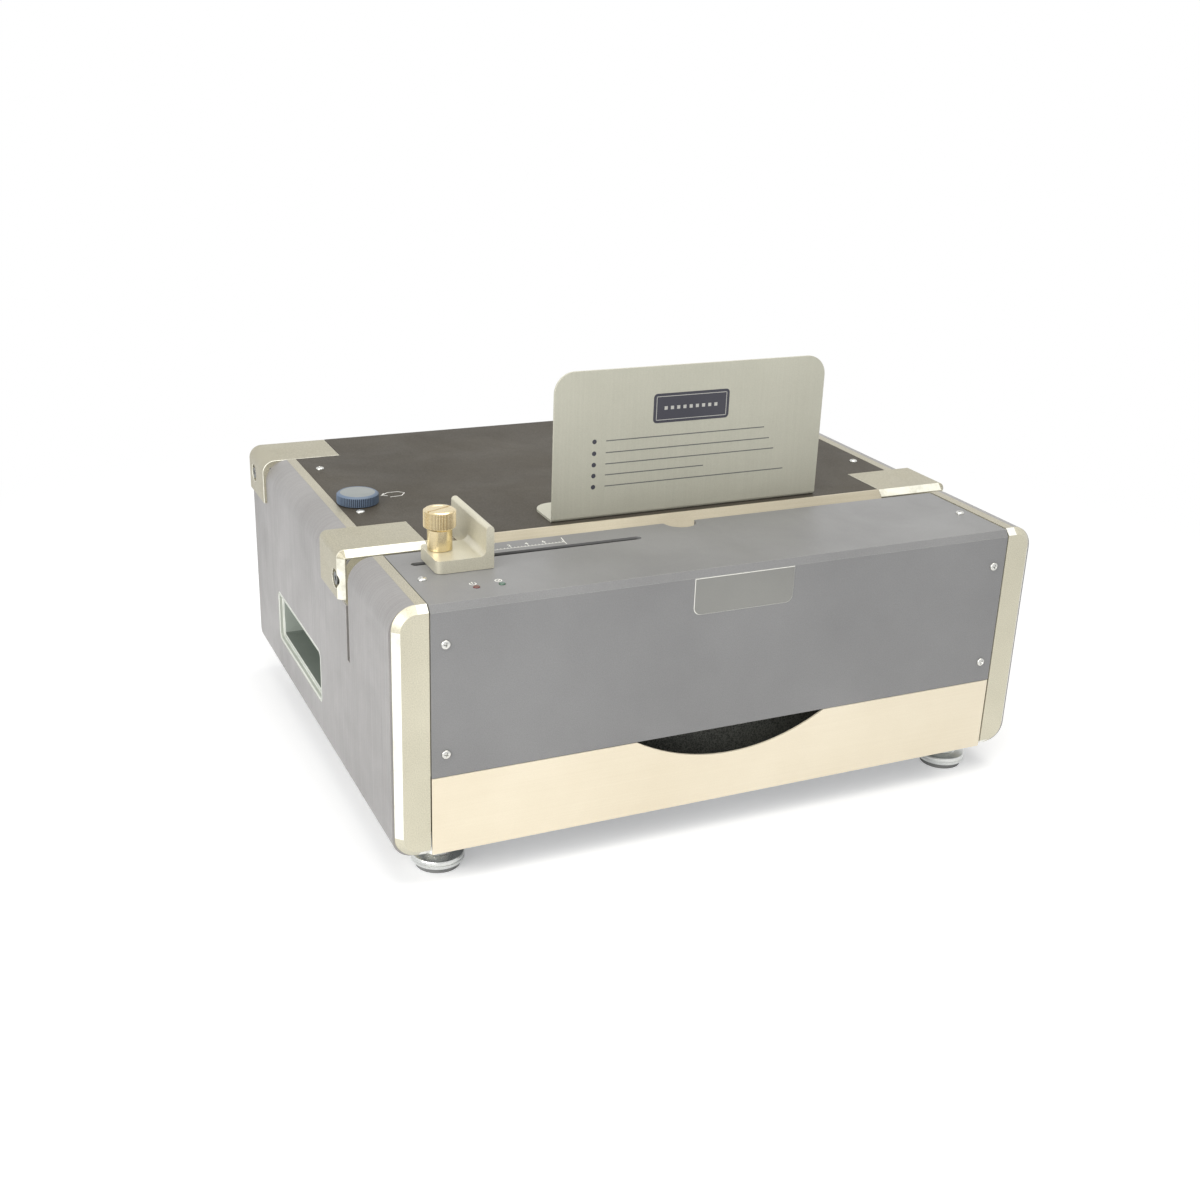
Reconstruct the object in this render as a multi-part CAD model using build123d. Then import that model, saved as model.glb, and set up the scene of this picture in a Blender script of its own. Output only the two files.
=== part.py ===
"""Electric hole punch for binding: sheet-metal desk machine with a vertical paper throat.

Machine coordinates while modelling, in millimetres: x = 0 on the mid-plane between the sides,
y = 0 on the front face and growing to the rear, z = 0 on the desk.  At the end every piece is
moved by one common shift, so that the origin is the centre of the base of the bounding box.
"""
import os
from math import acos, cos, pi, sin, tan, radians

from build123d import *

# ---------------------------------------------------------------- driving dimensions, mm
# housing
body_width = 540.0        # across the outer faces of the side frames
body_depth = 424.0
body_height = 194.5       # underside of the housing to the top of the rear panel
foot_height = 25.0
seam = 0.3                # gap between neighbouring covers, and between bodies that slide
running = 0.05            # radial clearance of a shaft in its bore
sheet = 2.0               # folded sheet covers

# side frames
frame_face = 25.3         # width of a frame's front face
frame_wall = 7.0          # outer wall left by the pockets
frame_rim = 14.0          # rim left round the pockets
pocket_clear = 8.0        # solid left between a pocket and the punch unit
edge_clear = 1.0          # step between a flange's end and the sheet that covers it
trim_depth = 5.7          # full-size nose in front of the wrapped side panel
trim_radius = 17.5
trim_bevel = 5.0
flange_width = 20.0       # inward flanges that carry the covers
flange_thick = 8.0
front_flange_end = 62.0   # the front cover's top flange stops short of the guide's slot
rear_flange_start = 9.0   # the rear panel's flange starts this far behind the throat
rear_flange_thick = 12.0
strip_width = 7.8         # land that stays bare beside the side panel's top edge

# wrapped side panels
skin = 1.8
skin_top_radius = 19.4
skin_bottom_radius = 16.0

# front cover
cover_rear = 106.5        # front wall of the paper throat
cover_top = 194.0         # above the housing's underside
cover_bottom = 62.7
cover_fold = 3.2          # depth of the bevelled fold between front and top
cover_fold_height = 5.2
fold_inset = 0.6          # inner corners of the fold
cover_lip = 14.0          # folded lip down into the throat
notch_radius = 13.8
slot_inset = 39.2         # the slot's left end, from the side frame's outer face
slot_length = 185.3
slot_y = 82.0
slot_width = 6.5

# paper throat
mouth_rear = 127.0
throat_gap = 6.5          # between die plate and punch guide
mouth_land = 1.5
slit_floor = 112.0
rail_sheet = 3.0
rail_ledge = 13.0

# corner brackets
bracket_thick = 6.3
bracket_proud = 4.2
bracket_radius = 6.0
bracket_inner = 64.9      # inner end, from the frame's outer face
ear_bottom = 156.0
mid_bracket_front = 122.0
mid_bracket_width = 53.5
rear_bracket_width = 54.0
counterbore_radius = 7.5
counterbore_depth = 3.0
ear_screw_radius = 2.5
mid_screw_rear = 11.0     # ear screw behind the middle bracket's front edge
rear_screw_front = 17.0   # ear screw in front of the housing's rear face
mid_screw_rise = 14.7     # ear screws above the ears' lower ends
rear_screw_rise = 18.0
ear_head_radius = 5.0
ear_head_height = 2.6
ear_socket_radius = 2.3
ear_socket_depth = 1.6

# paper backrest
backrest_left = -98.8
backrest_right = 143.5
backrest_y = 134.0
backrest_height = 120.0
backrest_foot = 44.0
backrest_corner = 17.0
backrest_bend = 3.0
backrest_screw_inset = 30.0

# edge guide and its clamp
guide_inset = 49.5        # guide's left end at rest, from the side frame's outer face
guide_width = 43.5
guide_front = 55.0
guide_base_depth = 40.0
guide_base_height = 9.6
guide_wall = 6.0
guide_wall_rear = 132.5
guide_height = 32.0
guide_round = 5.0
thumb_from_end = 11.5     # thumb screw's axis from the guide's left end
thumb_shank_radius = 3.0
thumb_neck_radius = 9.2
thumb_neck_height = 16.5
thumb_head_radius = 12.0
thumb_head_height = 14.0
thumb_chamfer = 1.0
clamp_size = 16.0
clamp_thick = 5.0

# margin knob and depth stop
knob_inset = 42.6         # knob's axis from the side frame's outer face
knob_y = 233.0
knob_radius = 17.0
knob_height = 8.5
knob_gap = 0.5
knob_chamfer = 1.2
knob_cap = 3.0            # knob left above its shaft
knob_shaft_radius = 4.0
knob_boss_radius = 10.0
collar = 3.0              # width and height of the collar under the boss
shaft_tail = 6.0          # shaft below the depth stop's arm
stop_top = 113.5
stop_bar = 19.0
stop_arm_low = 92.0
stop_arm_thick = 8.0
stop_arm_width = 16.0
stop_boss_radius = 9.0
stop_end = 54.7           # end of the stop's bar from the side frame's inner face

# chip tray
tray_length = 168.0
tray_side_room = 10.7     # beside the bin, for its runners
tray_wall = 2.0
tray_height = 56.0
tray_pocket = 30.0        # finger room behind the tray front
cut_chord = 166.4
cut_depth = 23.3
runner_height = 10.0
runner_rear = 180.0

# handle cups
cup_front = 196.0
cup_length = 147.5
cup_low = 37.5
cup_tall = 47.0
cup_radius = 7.0
cup_depth = 29.0
cup_rim = 3.0
cup_step = 3.4
cup_wall = 2.0

# feet
foot_inset_x = 40.5
foot_inset_y = 30.5
foot_radius = 20.0
foot_disc = 7.0
foot_neck_radius = 11.0
foot_edge = 1.5
stud_radius = 4.0
pad_radius = 17.0
pad_height = 4.0

# punch unit
pin_pitch = 14.2875       # nine sixteenths of an inch
pin_wide = 8.0
pin_tall = 3.0
pin_height = 118.0
pin_setback = 1.0         # pin tips behind the throat's rear wall at rest
pin_grip = 2.0            # pin let into its holder
stroke = 12.0
die_thick = 10.0
die_low = 104.0
relief_depth = 4.0        # wider way out for the chips
relief_height = 12.0
guide_thick = 22.0
punch_guide_top = 150.0
holder_thick = 12.0
holder_tall = 20.0
ram_thick = 12.0
ram_tall = 40.0
ram_end = 54.7            # ends of the ram bar from the side frames' inner faces
post_from_end = 18.0      # guide posts from the ram bar's ends
post_clear = 22.0         # least distance from a guide post's axis to the last pin's
post_radius = 6.0
post_seat = 10.0
post_tail = 16.0          # post behind the ram bar at rest

# drive
shaft_radius = 10.0
disc_radius = 22.0
disc_width = 14.0
yoke_x = 100.0
yoke_width = 12.0
yoke_rim = 10.0
yoke_corner = 6.0
shaft_end_gap = 0.5
yoke_play = 1.6           # room for the disc's sine motion round the steady stroke
bush_wall = 5.0
bush_length = 15.0
bush_boss_wall = 9.0
gear_module = 1.5
gear_teeth = 60
pinion_teeth = 15
gear_width = 15.0
gear_inset = 44.7         # gear's near face from the right side frame's inner face
gear_hub_radius = 17.0
gear_holes = 6
gear_hole_circle = 29.0
gear_hole_radius = 8.0
gear_hub = 5.0
gear_backlash = 0.25
pinion_shaft_radius = 5.0
pinion_seat = 8.0         # output shaft inside the gearbox
pinion_nose = 4.0         # output shaft beyond the pinion
gearbox_width = 44.0
gearbox_low = 80.0
gearbox_tall = 76.0
gearbox_margin = 18.0
gearbox_corner = 10.0
gearbox_boss = 4.0
gearbox_boss_radius = 12.0
gearbox_room = 9.0        # between gearbox and gear hub
motor_radius = 36.0
motor_length = 130.0
bell_length = 12.0
bell_step = 5.0
motor_offset = 44.0       # motor axis behind the output shaft
stand_sheet = 3.0
stand_foot = 15.0
stand_inset = 6.0

# base and electrics
base_sheet = 3.0
base_front = 12.0
base_flange = 15.0
board_sheet = 1.6
board_post = 8.0
board_post_radius = 3.0
board_inset = (39.7, 49.0)   # board's corner from the left frame and the rear face
board_size = (135.0, 105.0)
transformer = (45.0, 40.0, 34.0)
relay = (20.0, 28.0, 16.0)
capacitor_radius = 8.0
capacitor_height = 24.0
component_sink = 0.1      # component feet let into the board
component_edge = 10.0
component_row = 30.0
fuse_inset = 58.0         # from the left frame's outer face
inlet_inset = 90.0
switch_inset = 140.0
electric_z = 40.0
bezel = 1.8
inlet_size = (27.5, 20.0)
switch_size = (22.0, 30.0)
inlet_flange = 6.25       # flange beyond the inlet's body, each side
inlet_body = 24.0
inlet_well = 14.0
switch_body = 18.0
switch_well = 12.0
housing_wall = 2.0
rocker_tilt = 8.0
pivot_radius = 1.2        # the rocker's pins in its housing's walls
pivot_length = 1.0
pivot_inset = 3.0
fuse_radius = 6.5
fuse_body = 22.0
fuse_slot = (10.0, 1.6)
vent_count = 12
vent_left = 20.0
vent_pitch = 14.0
vent_width = 4.0
vent_z = (95.0, 150.0)

# fasteners and lamps
screw_head_radius = 3.5
screw_head_height = 2.0
screw_shank_radius = 2.0
screw_length = 9.0
screw_play = 0.2          # radial room round a screw's shank
cover_screw_inset = 37.0  # from the side frame's outer face
panel_screw_inset = 37.6
back_screw_inset = 35.0
panel_screw_rear = (215.9, 90.9)   # from the housing's rear face
lamp_radius = 2.5
lamp_proud = 0.8
lamp_y = 24.0
lamp_inset = (68.2, 87.4)
lamp_collar = 1.0
lamp_depth = 4.0

# ---------------------------------------------------------------- worked-out places
half = body_width / 2
inner = half - frame_face                  # inner face of a side frame
slot_left = -half + slot_inset
slot_right = slot_left + slot_length
guide_left = -half + guide_inset
thumb_x = guide_left + thumb_from_end
knob_x = -half + knob_inset
lamp_x = [-half + inset for inset in lamp_inset]
fuse_x, inlet_x, switch_x = -half + fuse_inset, -half + inlet_inset, -half + switch_inset
tray_half_width = inner - tray_side_room
stop_half_length = inner - stop_end
ram_half_length = inner - ram_end
post_x = ram_half_length - post_from_end
pin_count = 2 * int((post_x - post_clear) / pin_pitch) + 1
gear_x = inner - gear_inset
base_z = foot_height
top_z = base_z + body_height
cover_z = base_z + cover_top
panel_z = top_z - sheet                    # underside of the rear panel
throat_rear = cover_rear + throat_gap
ear_z = base_z + ear_bottom
slit_z = base_z + slit_floor
pin_z = base_z + pin_height
die_z = base_z + die_low
rear_bracket_front = body_depth - rear_bracket_width
panel_front = mouth_rear + mouth_land + seam
guide_rear_face = throat_rear + guide_thick
pin_tip = throat_rear + pin_setback
holder_front = guide_rear_face + stroke + 1.0
ram_front = holder_front + holder_thick
ram_rear = ram_front + ram_thick
eccentricity = stroke / 2
yoke_window = disc_radius + yoke_play
shaft_y = ram_rear + yoke_rim + yoke_window - eccentricity
gear_centres = gear_module * (gear_teeth + pinion_teeth) / 2
pinion_y = shaft_y + gear_centres
motor_y = pinion_y + motor_offset
gearbox_left = gear_x - gear_hub - gearbox_room - gearbox_width
guide_z = cover_z + seam
thumb_y = slot_y
mid_screw = (mid_bracket_front + mid_screw_rear, ear_bottom + mid_screw_rise)
rear_screw = (body_depth - rear_screw_front, ear_bottom + rear_screw_rise)
cover_screw_x = half - cover_screw_inset
front_screw_heights = (80.4, 164.7)
panel_screw_y = [body_depth - rear for rear in panel_screw_rear]
back_screw_heights = (30.0, 105.0, 180.0)


# ---------------------------------------------------------------- drawing helpers
def block(x, y, z):
    """Box between the pairs of limits x, y and z."""
    limits = (x, y, z)
    size = [high - low for low, high in limits]
    centre = [(low + high) / 2 for low, high in limits]
    return Pos(*centre) * Box(*size)


def rect(u, v):
    """Rectangle between the pairs of limits u and v of its plane."""
    return Pos((u[0] + u[1]) / 2, (v[0] + v[1]) / 2) * Rectangle(u[1] - u[0], v[1] - v[0])


def rounded(u, v, radius):
    """Rectangle between limits, with all corners rounded."""
    return Pos((u[0] + u[1]) / 2, (v[0] + v[1]) / 2) * RectangleRounded(u[1] - u[0], v[1] - v[0], radius)


def sweep_x(profile, x):
    """Profile drawn in (y, z), drawn out between two values of x."""
    plane = Plane(origin=(x[0], 0, 0), x_dir=(0, 1, 0), z_dir=(1, 0, 0))
    return extrude(plane * profile, amount=x[1] - x[0], dir=(1, 0, 0))


def sweep_y(profile, y):
    """Profile drawn in (x, z), drawn out between two values of y."""
    plane = Plane(origin=(0, y[0], 0), x_dir=(1, 0, 0), z_dir=(0, -1, 0))
    return extrude(plane * profile, amount=y[1] - y[0], dir=(0, 1, 0))


def sweep_z(profile, z):
    """Profile drawn in (x, y), drawn out between two heights."""
    return extrude(Pos(0, 0, z[0]) * profile, amount=z[1] - z[0], dir=(0, 0, 1))


def rod_x(y, z, radius, x):
    return sweep_x(Pos(y, z) * Circle(radius), x)


def rod_y(x, z, radius, y):
    return sweep_y(Pos(x, z) * Circle(radius), y)


def rod_z(x, y, radius, z):
    return sweep_z(Pos(x, y) * Circle(radius), z)


def mirrored(piece):
    """The right-hand twin of a left-hand piece."""
    return mirror(piece, about=Plane.YZ)


def both(piece):
    """A left-hand piece and its right-hand twin."""
    return [piece, mirrored(piece)]


def joined(pieces):
    """Overlapping or touching shapes as one solid."""
    result = pieces[0]
    for piece in pieces[1:]:
        result = result + piece
    return result


def pan_screw(at, towards):
    """Low-domed screw whose head seats at a point and whose shank runs the other way."""
    head = Pos(0, 0, screw_head_height / 2) * Cylinder(screw_head_radius, screw_head_height)
    rim = head.edges().filter_by(GeomType.CIRCLE).sort_by(Axis.Z)[-1]
    head = fillet(rim, screw_head_height * 0.7)
    shank = Pos(0, 0, -screw_length / 2) * Cylinder(screw_shank_radius, screw_length)
    return Plane(origin=at, z_dir=towards) * (head + shank)


def screw_hole(at, towards):
    """Clearance hole for a pan screw, through whatever lies under its head."""
    depth = screw_length + 1.0
    radius = screw_shank_radius + screw_play
    return Plane(origin=at, z_dir=towards) * (Pos(0, 0, -depth / 2) * Cylinder(radius, depth + 0.01))


# ---------------------------------------------------------------- screw places
UP = (0, 0, 1)
FRONT = (0, -1, 0)
REAR = (0, 1, 0)


def left_and_right(points):
    """Each point and its mirror image."""
    return [(side * x, y, z) for x, y, z in points for side in (1, -1)]


cover_front_points = left_and_right([(cover_screw_x, 0, base_z + h) for h in front_screw_heights])
cover_top_points = left_and_right([(cover_screw_x, 50.0, cover_z)])
panel_points = left_and_right([(half - panel_screw_inset, y, top_z) for y in panel_screw_y])
back_points = left_and_right([(half - back_screw_inset, body_depth, base_z + h) for h in back_screw_heights])
backrest_points = [(backrest_left + s, backrest_y + backrest_foot * 0.6, top_z + sheet)
                   for s in (backrest_screw_inset, (backrest_right - backrest_left) / 2,
                             backrest_right - backrest_left - backrest_screw_inset)]


def drilled(piece, points, towards):
    """The piece with a clearance hole at each screw."""
    return piece - [screw_hole(point, towards) for point in points]


# ---------------------------------------------------------------- side frames and their panels
def left_wall_outline(shrink):
    """Side outline in (x, z): the wrapped panel's outer form, or its inner form one skin smaller."""
    low_x = -half - skin + shrink
    box = rect((low_x, -half + frame_face), (base_z + shrink, top_z - shrink))
    left = box.vertices().filter_by_position(Axis.X, low_x - 0.01, low_x + 0.01).sort_by(Axis.Y)
    box = fillet(left[0], skin_bottom_radius - shrink)
    left = box.vertices().sort_by(Axis.Y)[-2:].sort_by(Axis.X)
    return fillet(left[0], skin_top_radius - shrink)


def throat_slit(extra):
    """Everything the paper slit takes from a side: narrow below, wide beside the bracket."""
    across = (-half - 2 * skin, -inner + flange_width + 1)
    narrow = block(across, (cover_rear, throat_rear), (slit_z, top_z + 1))
    wide = block(across, (cover_rear, mid_bracket_front + extra), (ear_z - extra, top_z + 1))
    return narrow + wide


def bracket_room(front, width):
    """Recess in a side frame that takes an L-bracket."""
    side = block((-half - 2 * skin, -half - bracket_proud + bracket_thick),
                 (front, front + width), (ear_z, top_z + 1))
    top = block((-half - 2 * skin, -inner + flange_width + 1),
                (front, front + width), (top_z - bracket_thick, top_z + 1))
    return side + top


def cup_outline(inset):
    """Handle cup's outline in (y, z), drawn in by an inset."""
    y = (cup_front + inset, cup_front + cup_length - inset)
    z = (base_z + cup_low + inset, base_z + cup_low + cup_tall - inset)
    return rounded(y, z, max(cup_radius - inset, 2.0))


def left_side_frame():
    """Pocketed plate with a bevelled nose, a bare land on top and flanges that carry the covers."""
    nose = rect((-half, -inner), (base_z, top_z))
    outer = nose.vertices().group_by(Axis.X)[0]
    nose = sweep_y(fillet(outer, trim_radius), (0, trim_depth))
    rim = nose.faces().sort_by(Axis.Y)[0].edges()
    rim = [edge for edge in rim if edge.center().X < -inner - 0.1]
    nose = chamfer(rim, trim_bevel)

    wall = sweep_y(left_wall_outline(skin), (trim_depth, body_depth))
    land = sweep_y(rect((-inner - strip_width, -inner), (base_z, top_z)), (trim_depth, body_depth))
    frame = nose + (wall + land)

    pocket_x = (-half + frame_wall, -inner + 1)
    pocket_z = (base_z + frame_rim, top_z - frame_rim)
    front_end = cover_rear - die_thick - pocket_clear
    rear_start = guide_rear_face + pocket_clear
    for y in ((frame_rim, front_end), (rear_start, body_depth - frame_rim)):
        frame -= block(pocket_x, y, pocket_z)

    # flanges: top ones step down under the front cover, and the slot's clamp passes between them
    out = (-inner - 1, -inner + flange_width)
    fold_room = cover_fold + edge_clear
    frame += block(out, (fold_room, front_flange_end), (cover_z - sheet - flange_thick, cover_z - sheet))
    frame += block(out, (throat_rear + rear_flange_start, body_depth - sheet),
                   (panel_z - rear_flange_thick, panel_z))
    frame += block(out, (sheet, sheet + flange_thick),
                   (base_z + cover_bottom + edge_clear, cover_z - cover_fold_height - edge_clear))
    frame += block(out, (body_depth - sheet - flange_thick, body_depth - sheet),
                   (base_z + base_sheet + edge_clear, panel_z))
    frame += rod_z(knob_x, knob_y, knob_boss_radius, (panel_z - rear_flange_thick, panel_z))
    boss_radius = shaft_radius + bush_wall + bush_boss_wall
    frame += rod_x(shaft_y, pin_z, boss_radius, (-half + frame_wall - 1, -inner))

    frame -= throat_slit(seam)
    frame -= bracket_room(mid_bracket_front, mid_bracket_width)
    frame -= bracket_room(rear_bracket_front, rear_bracket_width + 1)
    frame -= sweep_x(cup_outline(-running), (-half - 1, -half + frame_wall + 1))
    frame -= rod_x(shaft_y, pin_z, shaft_radius + bush_wall + 0.02, (-half + frame_wall, -inner + 1))
    return frame


def finished_frame(frame, is_left):
    """Holes for screws and, on the left, for the knob's shaft."""
    frame = drilled(frame, cover_front_points, FRONT)
    frame = drilled(frame, cover_top_points + panel_points, UP)
    frame = drilled(frame, back_points, REAR)
    if is_left:
        frame -= rod_z(knob_x, knob_y, knob_shaft_radius + running, (panel_z - rear_flange_thick - 1, top_z))
    return frame


def left_side_panel():
    """Sheet wrapped over the frame's top and bottom edges."""
    end = rect((-half - 2 * skin, -inner - strip_width), (base_z - 1, top_z + 1))
    profile = (left_wall_outline(0) - left_wall_outline(skin)) & end
    panel = sweep_y(profile, (trim_depth, body_depth))
    panel -= throat_slit(seam)
    panel -= bracket_room(mid_bracket_front, mid_bracket_width)
    panel -= bracket_room(rear_bracket_front, rear_bracket_width + 1)
    return panel - sweep_x(cup_outline(-running), (-half - 2 * skin, -half + 1))


def left_bracket(front, width, screw, bevelled):
    """L-shaped corner bracket with a counterbored ear."""
    x = (-half - bracket_proud, -half + bracket_inner)
    outline = rect(x, (ear_z, top_z))
    corner = outline.vertices().group_by(Axis.X)[0].sort_by(Axis.Y)[-1]
    outline = fillet(corner, bracket_radius)
    outline -= rect((x[0] + bracket_thick, x[1] + 1), (ear_z - 1, top_z - bracket_thick))
    bracket = sweep_y(outline, (front, front + width))
    if bevelled:
        rim = bracket.faces().sort_by(Axis.Y)[0].edges()
        rim = [edge for edge in rim
               if edge.center().Z > top_z - bracket_radius or edge.center().X < x[0] + 1]
        bracket = chamfer([e for e in rim if e.center().Z > ear_z + 1 and e.center().X < x[1] - 1],
                          trim_bevel)
    y, height = screw
    seat = (x[0] - 1, x[0] + counterbore_depth)
    bracket -= rod_x(y, base_z + height, counterbore_radius, seat)
    return bracket - rod_x(y, base_z + height, ear_screw_radius + screw_play,
                           (x[0], x[0] + bracket_thick + 1))


def bracket_screws():
    """Cheese-head screws sunk in the brackets' ears."""
    screws = []
    for y, height in (mid_screw, rear_screw):
        seat = -half - bracket_proud + counterbore_depth
        tip = -half - bracket_proud + bracket_thick - 2 * running
        head_top = seat - ear_head_height
        head = rod_x(y, base_z + height, ear_head_radius, (head_top, seat))
        head -= sweep_x(Pos(y, base_z + height) * RegularPolygon(ear_socket_radius, 6),
                        (head_top - 1, head_top + ear_socket_depth))
        shank = rod_x(y, base_z + height, ear_screw_radius, (seat, tip))
        screws += both(head + shank)
    return screws


# ---------------------------------------------------------------- covers
def front_cover():
    """Sheet folded over the front and top, with slot, finger notch and lamp holes."""
    low = base_z + cover_bottom
    fold = cover_z - cover_fold_height
    profile = Polygon(
        (0, low), (sheet, low), (sheet, fold - fold_inset), (cover_fold + fold_inset, cover_z - sheet),
        (cover_rear - sheet, cover_z - sheet), (cover_rear - sheet, cover_z - cover_lip),
        (cover_rear, cover_z - cover_lip), (cover_rear, cover_z), (cover_fold, cover_z), (0, fold),
        align=None)
    cover = sweep_x(profile, (-inner + seam, inner - seam))
    cover -= rod_z(0, cover_rear, notch_radius, (cover_z - cover_lip - 1, cover_z + 1))
    slot = rounded((slot_left, slot_right), (slot_y - slot_width / 2, slot_y + slot_width / 2),
                   slot_width / 2 - 0.01)
    cover -= sweep_z(slot, (cover_z - sheet - 1, cover_z + 1))
    for x in lamp_x:
        cover -= rod_z(x, lamp_y, lamp_radius + running, (cover_z - sheet - 1, cover_z + 1))
    cover = drilled(cover, cover_front_points, FRONT)
    return drilled(cover, cover_top_points, UP)


def rear_top_panel():
    """Flat dark panel between the brackets and the back."""
    edge = inner - seam
    outline = rect((-edge, edge), (panel_front, body_depth))
    reach = half - bracket_inner - seam
    for front, width in ((mid_bracket_front, mid_bracket_width), (rear_bracket_front, rear_bracket_width)):
        for side in ((-edge - 1, -reach), (reach, edge + 1)):
            outline -= rect(side, (front - seam, front + width + seam))
    outline -= Pos(knob_x, knob_y) * Circle(knob_shaft_radius + 0.3)
    panel = sweep_z(outline, (panel_z, top_z))
    panel = drilled(panel, panel_points, UP)
    return drilled(panel, backrest_points, UP)


def throat_rail():
    """Drawn rail that forms the throat's sloped rear lip and carries the rear panel's front edge."""
    low = base_z + punch_guide_top
    slope = mouth_rear - throat_rear
    land = mouth_rear + mouth_land
    back = throat_rear + rail_sheet
    knee = panel_z - rail_sheet
    profile = Polygon(
        (mouth_rear, top_z), (land, top_z), (land, panel_z), (land + rail_ledge, panel_z),
        (land + rail_ledge, knee), (mouth_rear + 1, knee), (back, top_z - slope - rail_sheet),
        (back, low + rail_sheet), (back + 10, low + rail_sheet), (back + 10, low),
        (throat_rear, low), (throat_rear, top_z - slope), align=None)
    reach = half - bracket_inner - seam
    rail = sweep_x(profile, (-reach, reach))
    return rail


def back_cover():
    """Flat sheet with cooling slots by the motor and cut-outs for the electrics."""
    edge = inner - seam
    cover = block((-edge, edge), (body_depth - sheet, body_depth), (base_z + 0.5, panel_z - seam))
    for i in range(vent_count):
        x = vent_left + vent_pitch * i
        slot = rounded((x - vent_width / 2, x + vent_width / 2), (base_z + vent_z[0], base_z + vent_z[1]),
                       vent_width / 2 - 0.1)
        cover -= sweep_y(slot, (body_depth - sheet - 1, body_depth + 1))
    holes = [rect((inlet_x - inlet_size[0] / 2, inlet_x + inlet_size[0] / 2),
                  (base_z + electric_z - inlet_size[1] / 2, base_z + electric_z + inlet_size[1] / 2)),
             rect((switch_x - switch_size[0] / 2, switch_x + switch_size[0] / 2),
                  (base_z + electric_z - switch_size[1] / 2, base_z + electric_z + switch_size[1] / 2)),
             Pos(fuse_x, base_z + electric_z) * Circle(fuse_radius)]
    for hole in holes:
        cover -= sweep_y(hole, (body_depth - sheet - 1, body_depth + 1))
    reach = half - bracket_inner - seam
    for side in ((-edge - 1, -reach), (reach, edge + 1)):
        cover -= block(side, (body_depth - sheet - 1, body_depth + 1),
                       (top_z - bracket_thick - seam, top_z))
    return drilled(cover, back_points, REAR)


def backrest():
    """Paper rest bent from one sheet: a tall plate and a foot that reaches to the rear."""
    foot_rear = backrest_y + backrest_foot
    profile = rect((backrest_y, foot_rear), (top_z, top_z + backrest_height))
    corner = profile.vertices().sort_by(Axis.X)[:2].sort_by(Axis.Y)[0]
    profile = fillet(corner, backrest_bend)
    hollow = rect((backrest_y + sheet, foot_rear + 1), (top_z + sheet, top_z + backrest_height + 1))
    corner = hollow.vertices().sort_by(Axis.X)[:2].sort_by(Axis.Y)[0]
    profile -= fillet(corner, backrest_bend - sheet)
    rest = sweep_x(profile, (backrest_left, backrest_right))
    across = (backrest_left, backrest_right)
    tall = rect(across, (top_z, top_z + backrest_height))
    tall = fillet(tall.vertices().group_by(Axis.Y)[-1], backrest_corner)
    flat = rect(across, (backrest_y, foot_rear))
    flat = fillet(flat.vertices().group_by(Axis.Y)[-1], backrest_corner - 1)
    rest &= sweep_y(tall, (backrest_y - 1, foot_rear + 1))
    rest &= sweep_z(flat, (top_z - 1, top_z + backrest_height + 1))
    return drilled(rest, backrest_points, UP)


def left_handle_cup():
    """Moulded cup let into the side: a stepped rim round a finger pocket."""
    face = -half - skin
    body = sweep_x(cup_outline(0), (face, face + frame_wall + skin))
    body += sweep_x(cup_outline(cup_rim + 1), (face + 1, face + cup_depth))
    body -= sweep_x(cup_outline(cup_rim), (face - 1, face + cup_step))
    pocket = sweep_x(cup_outline(cup_rim + 1 + cup_wall), (face, face + cup_depth - cup_wall))
    return body - pocket


# ---------------------------------------------------------------- edge guide, thumb screw, knob
def edge_guide():
    """L-shaped block: a clamp foot over the slot and a wall that reaches across the throat."""
    right = guide_left + guide_width
    low = guide_z
    foot_top = low + guide_base_height
    foot = rect((guide_left, right), (low, foot_top))
    wall = rect((right - guide_wall, right), (low, low + guide_height))
    profile = foot + wall
    inside = profile.vertices().sort_by(lambda v: abs(v.X - right + guide_wall) + abs(v.Y - foot_top))[0]
    profile = fillet(inside, guide_round)
    top = profile.vertices().sort_by(Axis.Y)[-2:]
    profile = fillet(top, guide_wall / 2 - 0.2)
    guide = sweep_y(profile, (guide_front, guide_front + guide_base_depth))
    above = guide_z + (top_z - cover_z) + seam
    reach = rect((right - guide_wall, right), (above, low + guide_height))
    reach = fillet(reach.vertices().group_by(Axis.Y)[-1], guide_wall / 2 - 0.2)
    guide += sweep_y(reach, (guide_front + 1, guide_wall_rear))
    upright = [edge for edge in guide.edges().filter_by(Axis.Z)
               if abs(edge.center().X - guide_left) < 0.1]
    guide = fillet(upright, guide_round)
    top_front = [edge for edge in guide.edges().filter_by(Axis.X)
                 if abs(edge.center().Y - guide_wall_rear) < 0.1 and edge.center().Z > low + guide_height - 1]
    guide = chamfer(top_front, 1.0) if top_front else guide
    return guide - rod_z(thumb_x, thumb_y, thumb_shank_radius + running, (low - 1, foot_top + 1))


def guide_clamp_plate():
    """Square nut plate under the slot, that the thumb screw draws up against the cover."""
    low = cover_z - sheet - seam - clamp_thick
    plate = block((thumb_x - clamp_size / 2, thumb_x + clamp_size / 2),
                  (thumb_y - clamp_size / 2, thumb_y + clamp_size / 2), (low, low + clamp_thick))
    return plate - rod_z(thumb_x, thumb_y, thumb_shank_radius + running, (low - 1, cover_z))


def thumb_screw():
    """Brass screw with a plain neck and a broad head."""
    low = guide_z + guide_base_height
    neck_top = low + thumb_neck_height
    head_top = neck_top + thumb_head_height
    shank = rod_z(thumb_x, thumb_y, thumb_shank_radius, (cover_z - sheet - seam - clamp_thick - 2, low + 1))
    neck = rod_z(thumb_x, thumb_y, thumb_neck_radius, (low, neck_top + 1))
    head = rod_z(thumb_x, thumb_y, thumb_head_radius, (neck_top, head_top))
    head = chamfer(head.edges().filter_by(GeomType.CIRCLE), thumb_chamfer)
    return shank + neck + head


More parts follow.
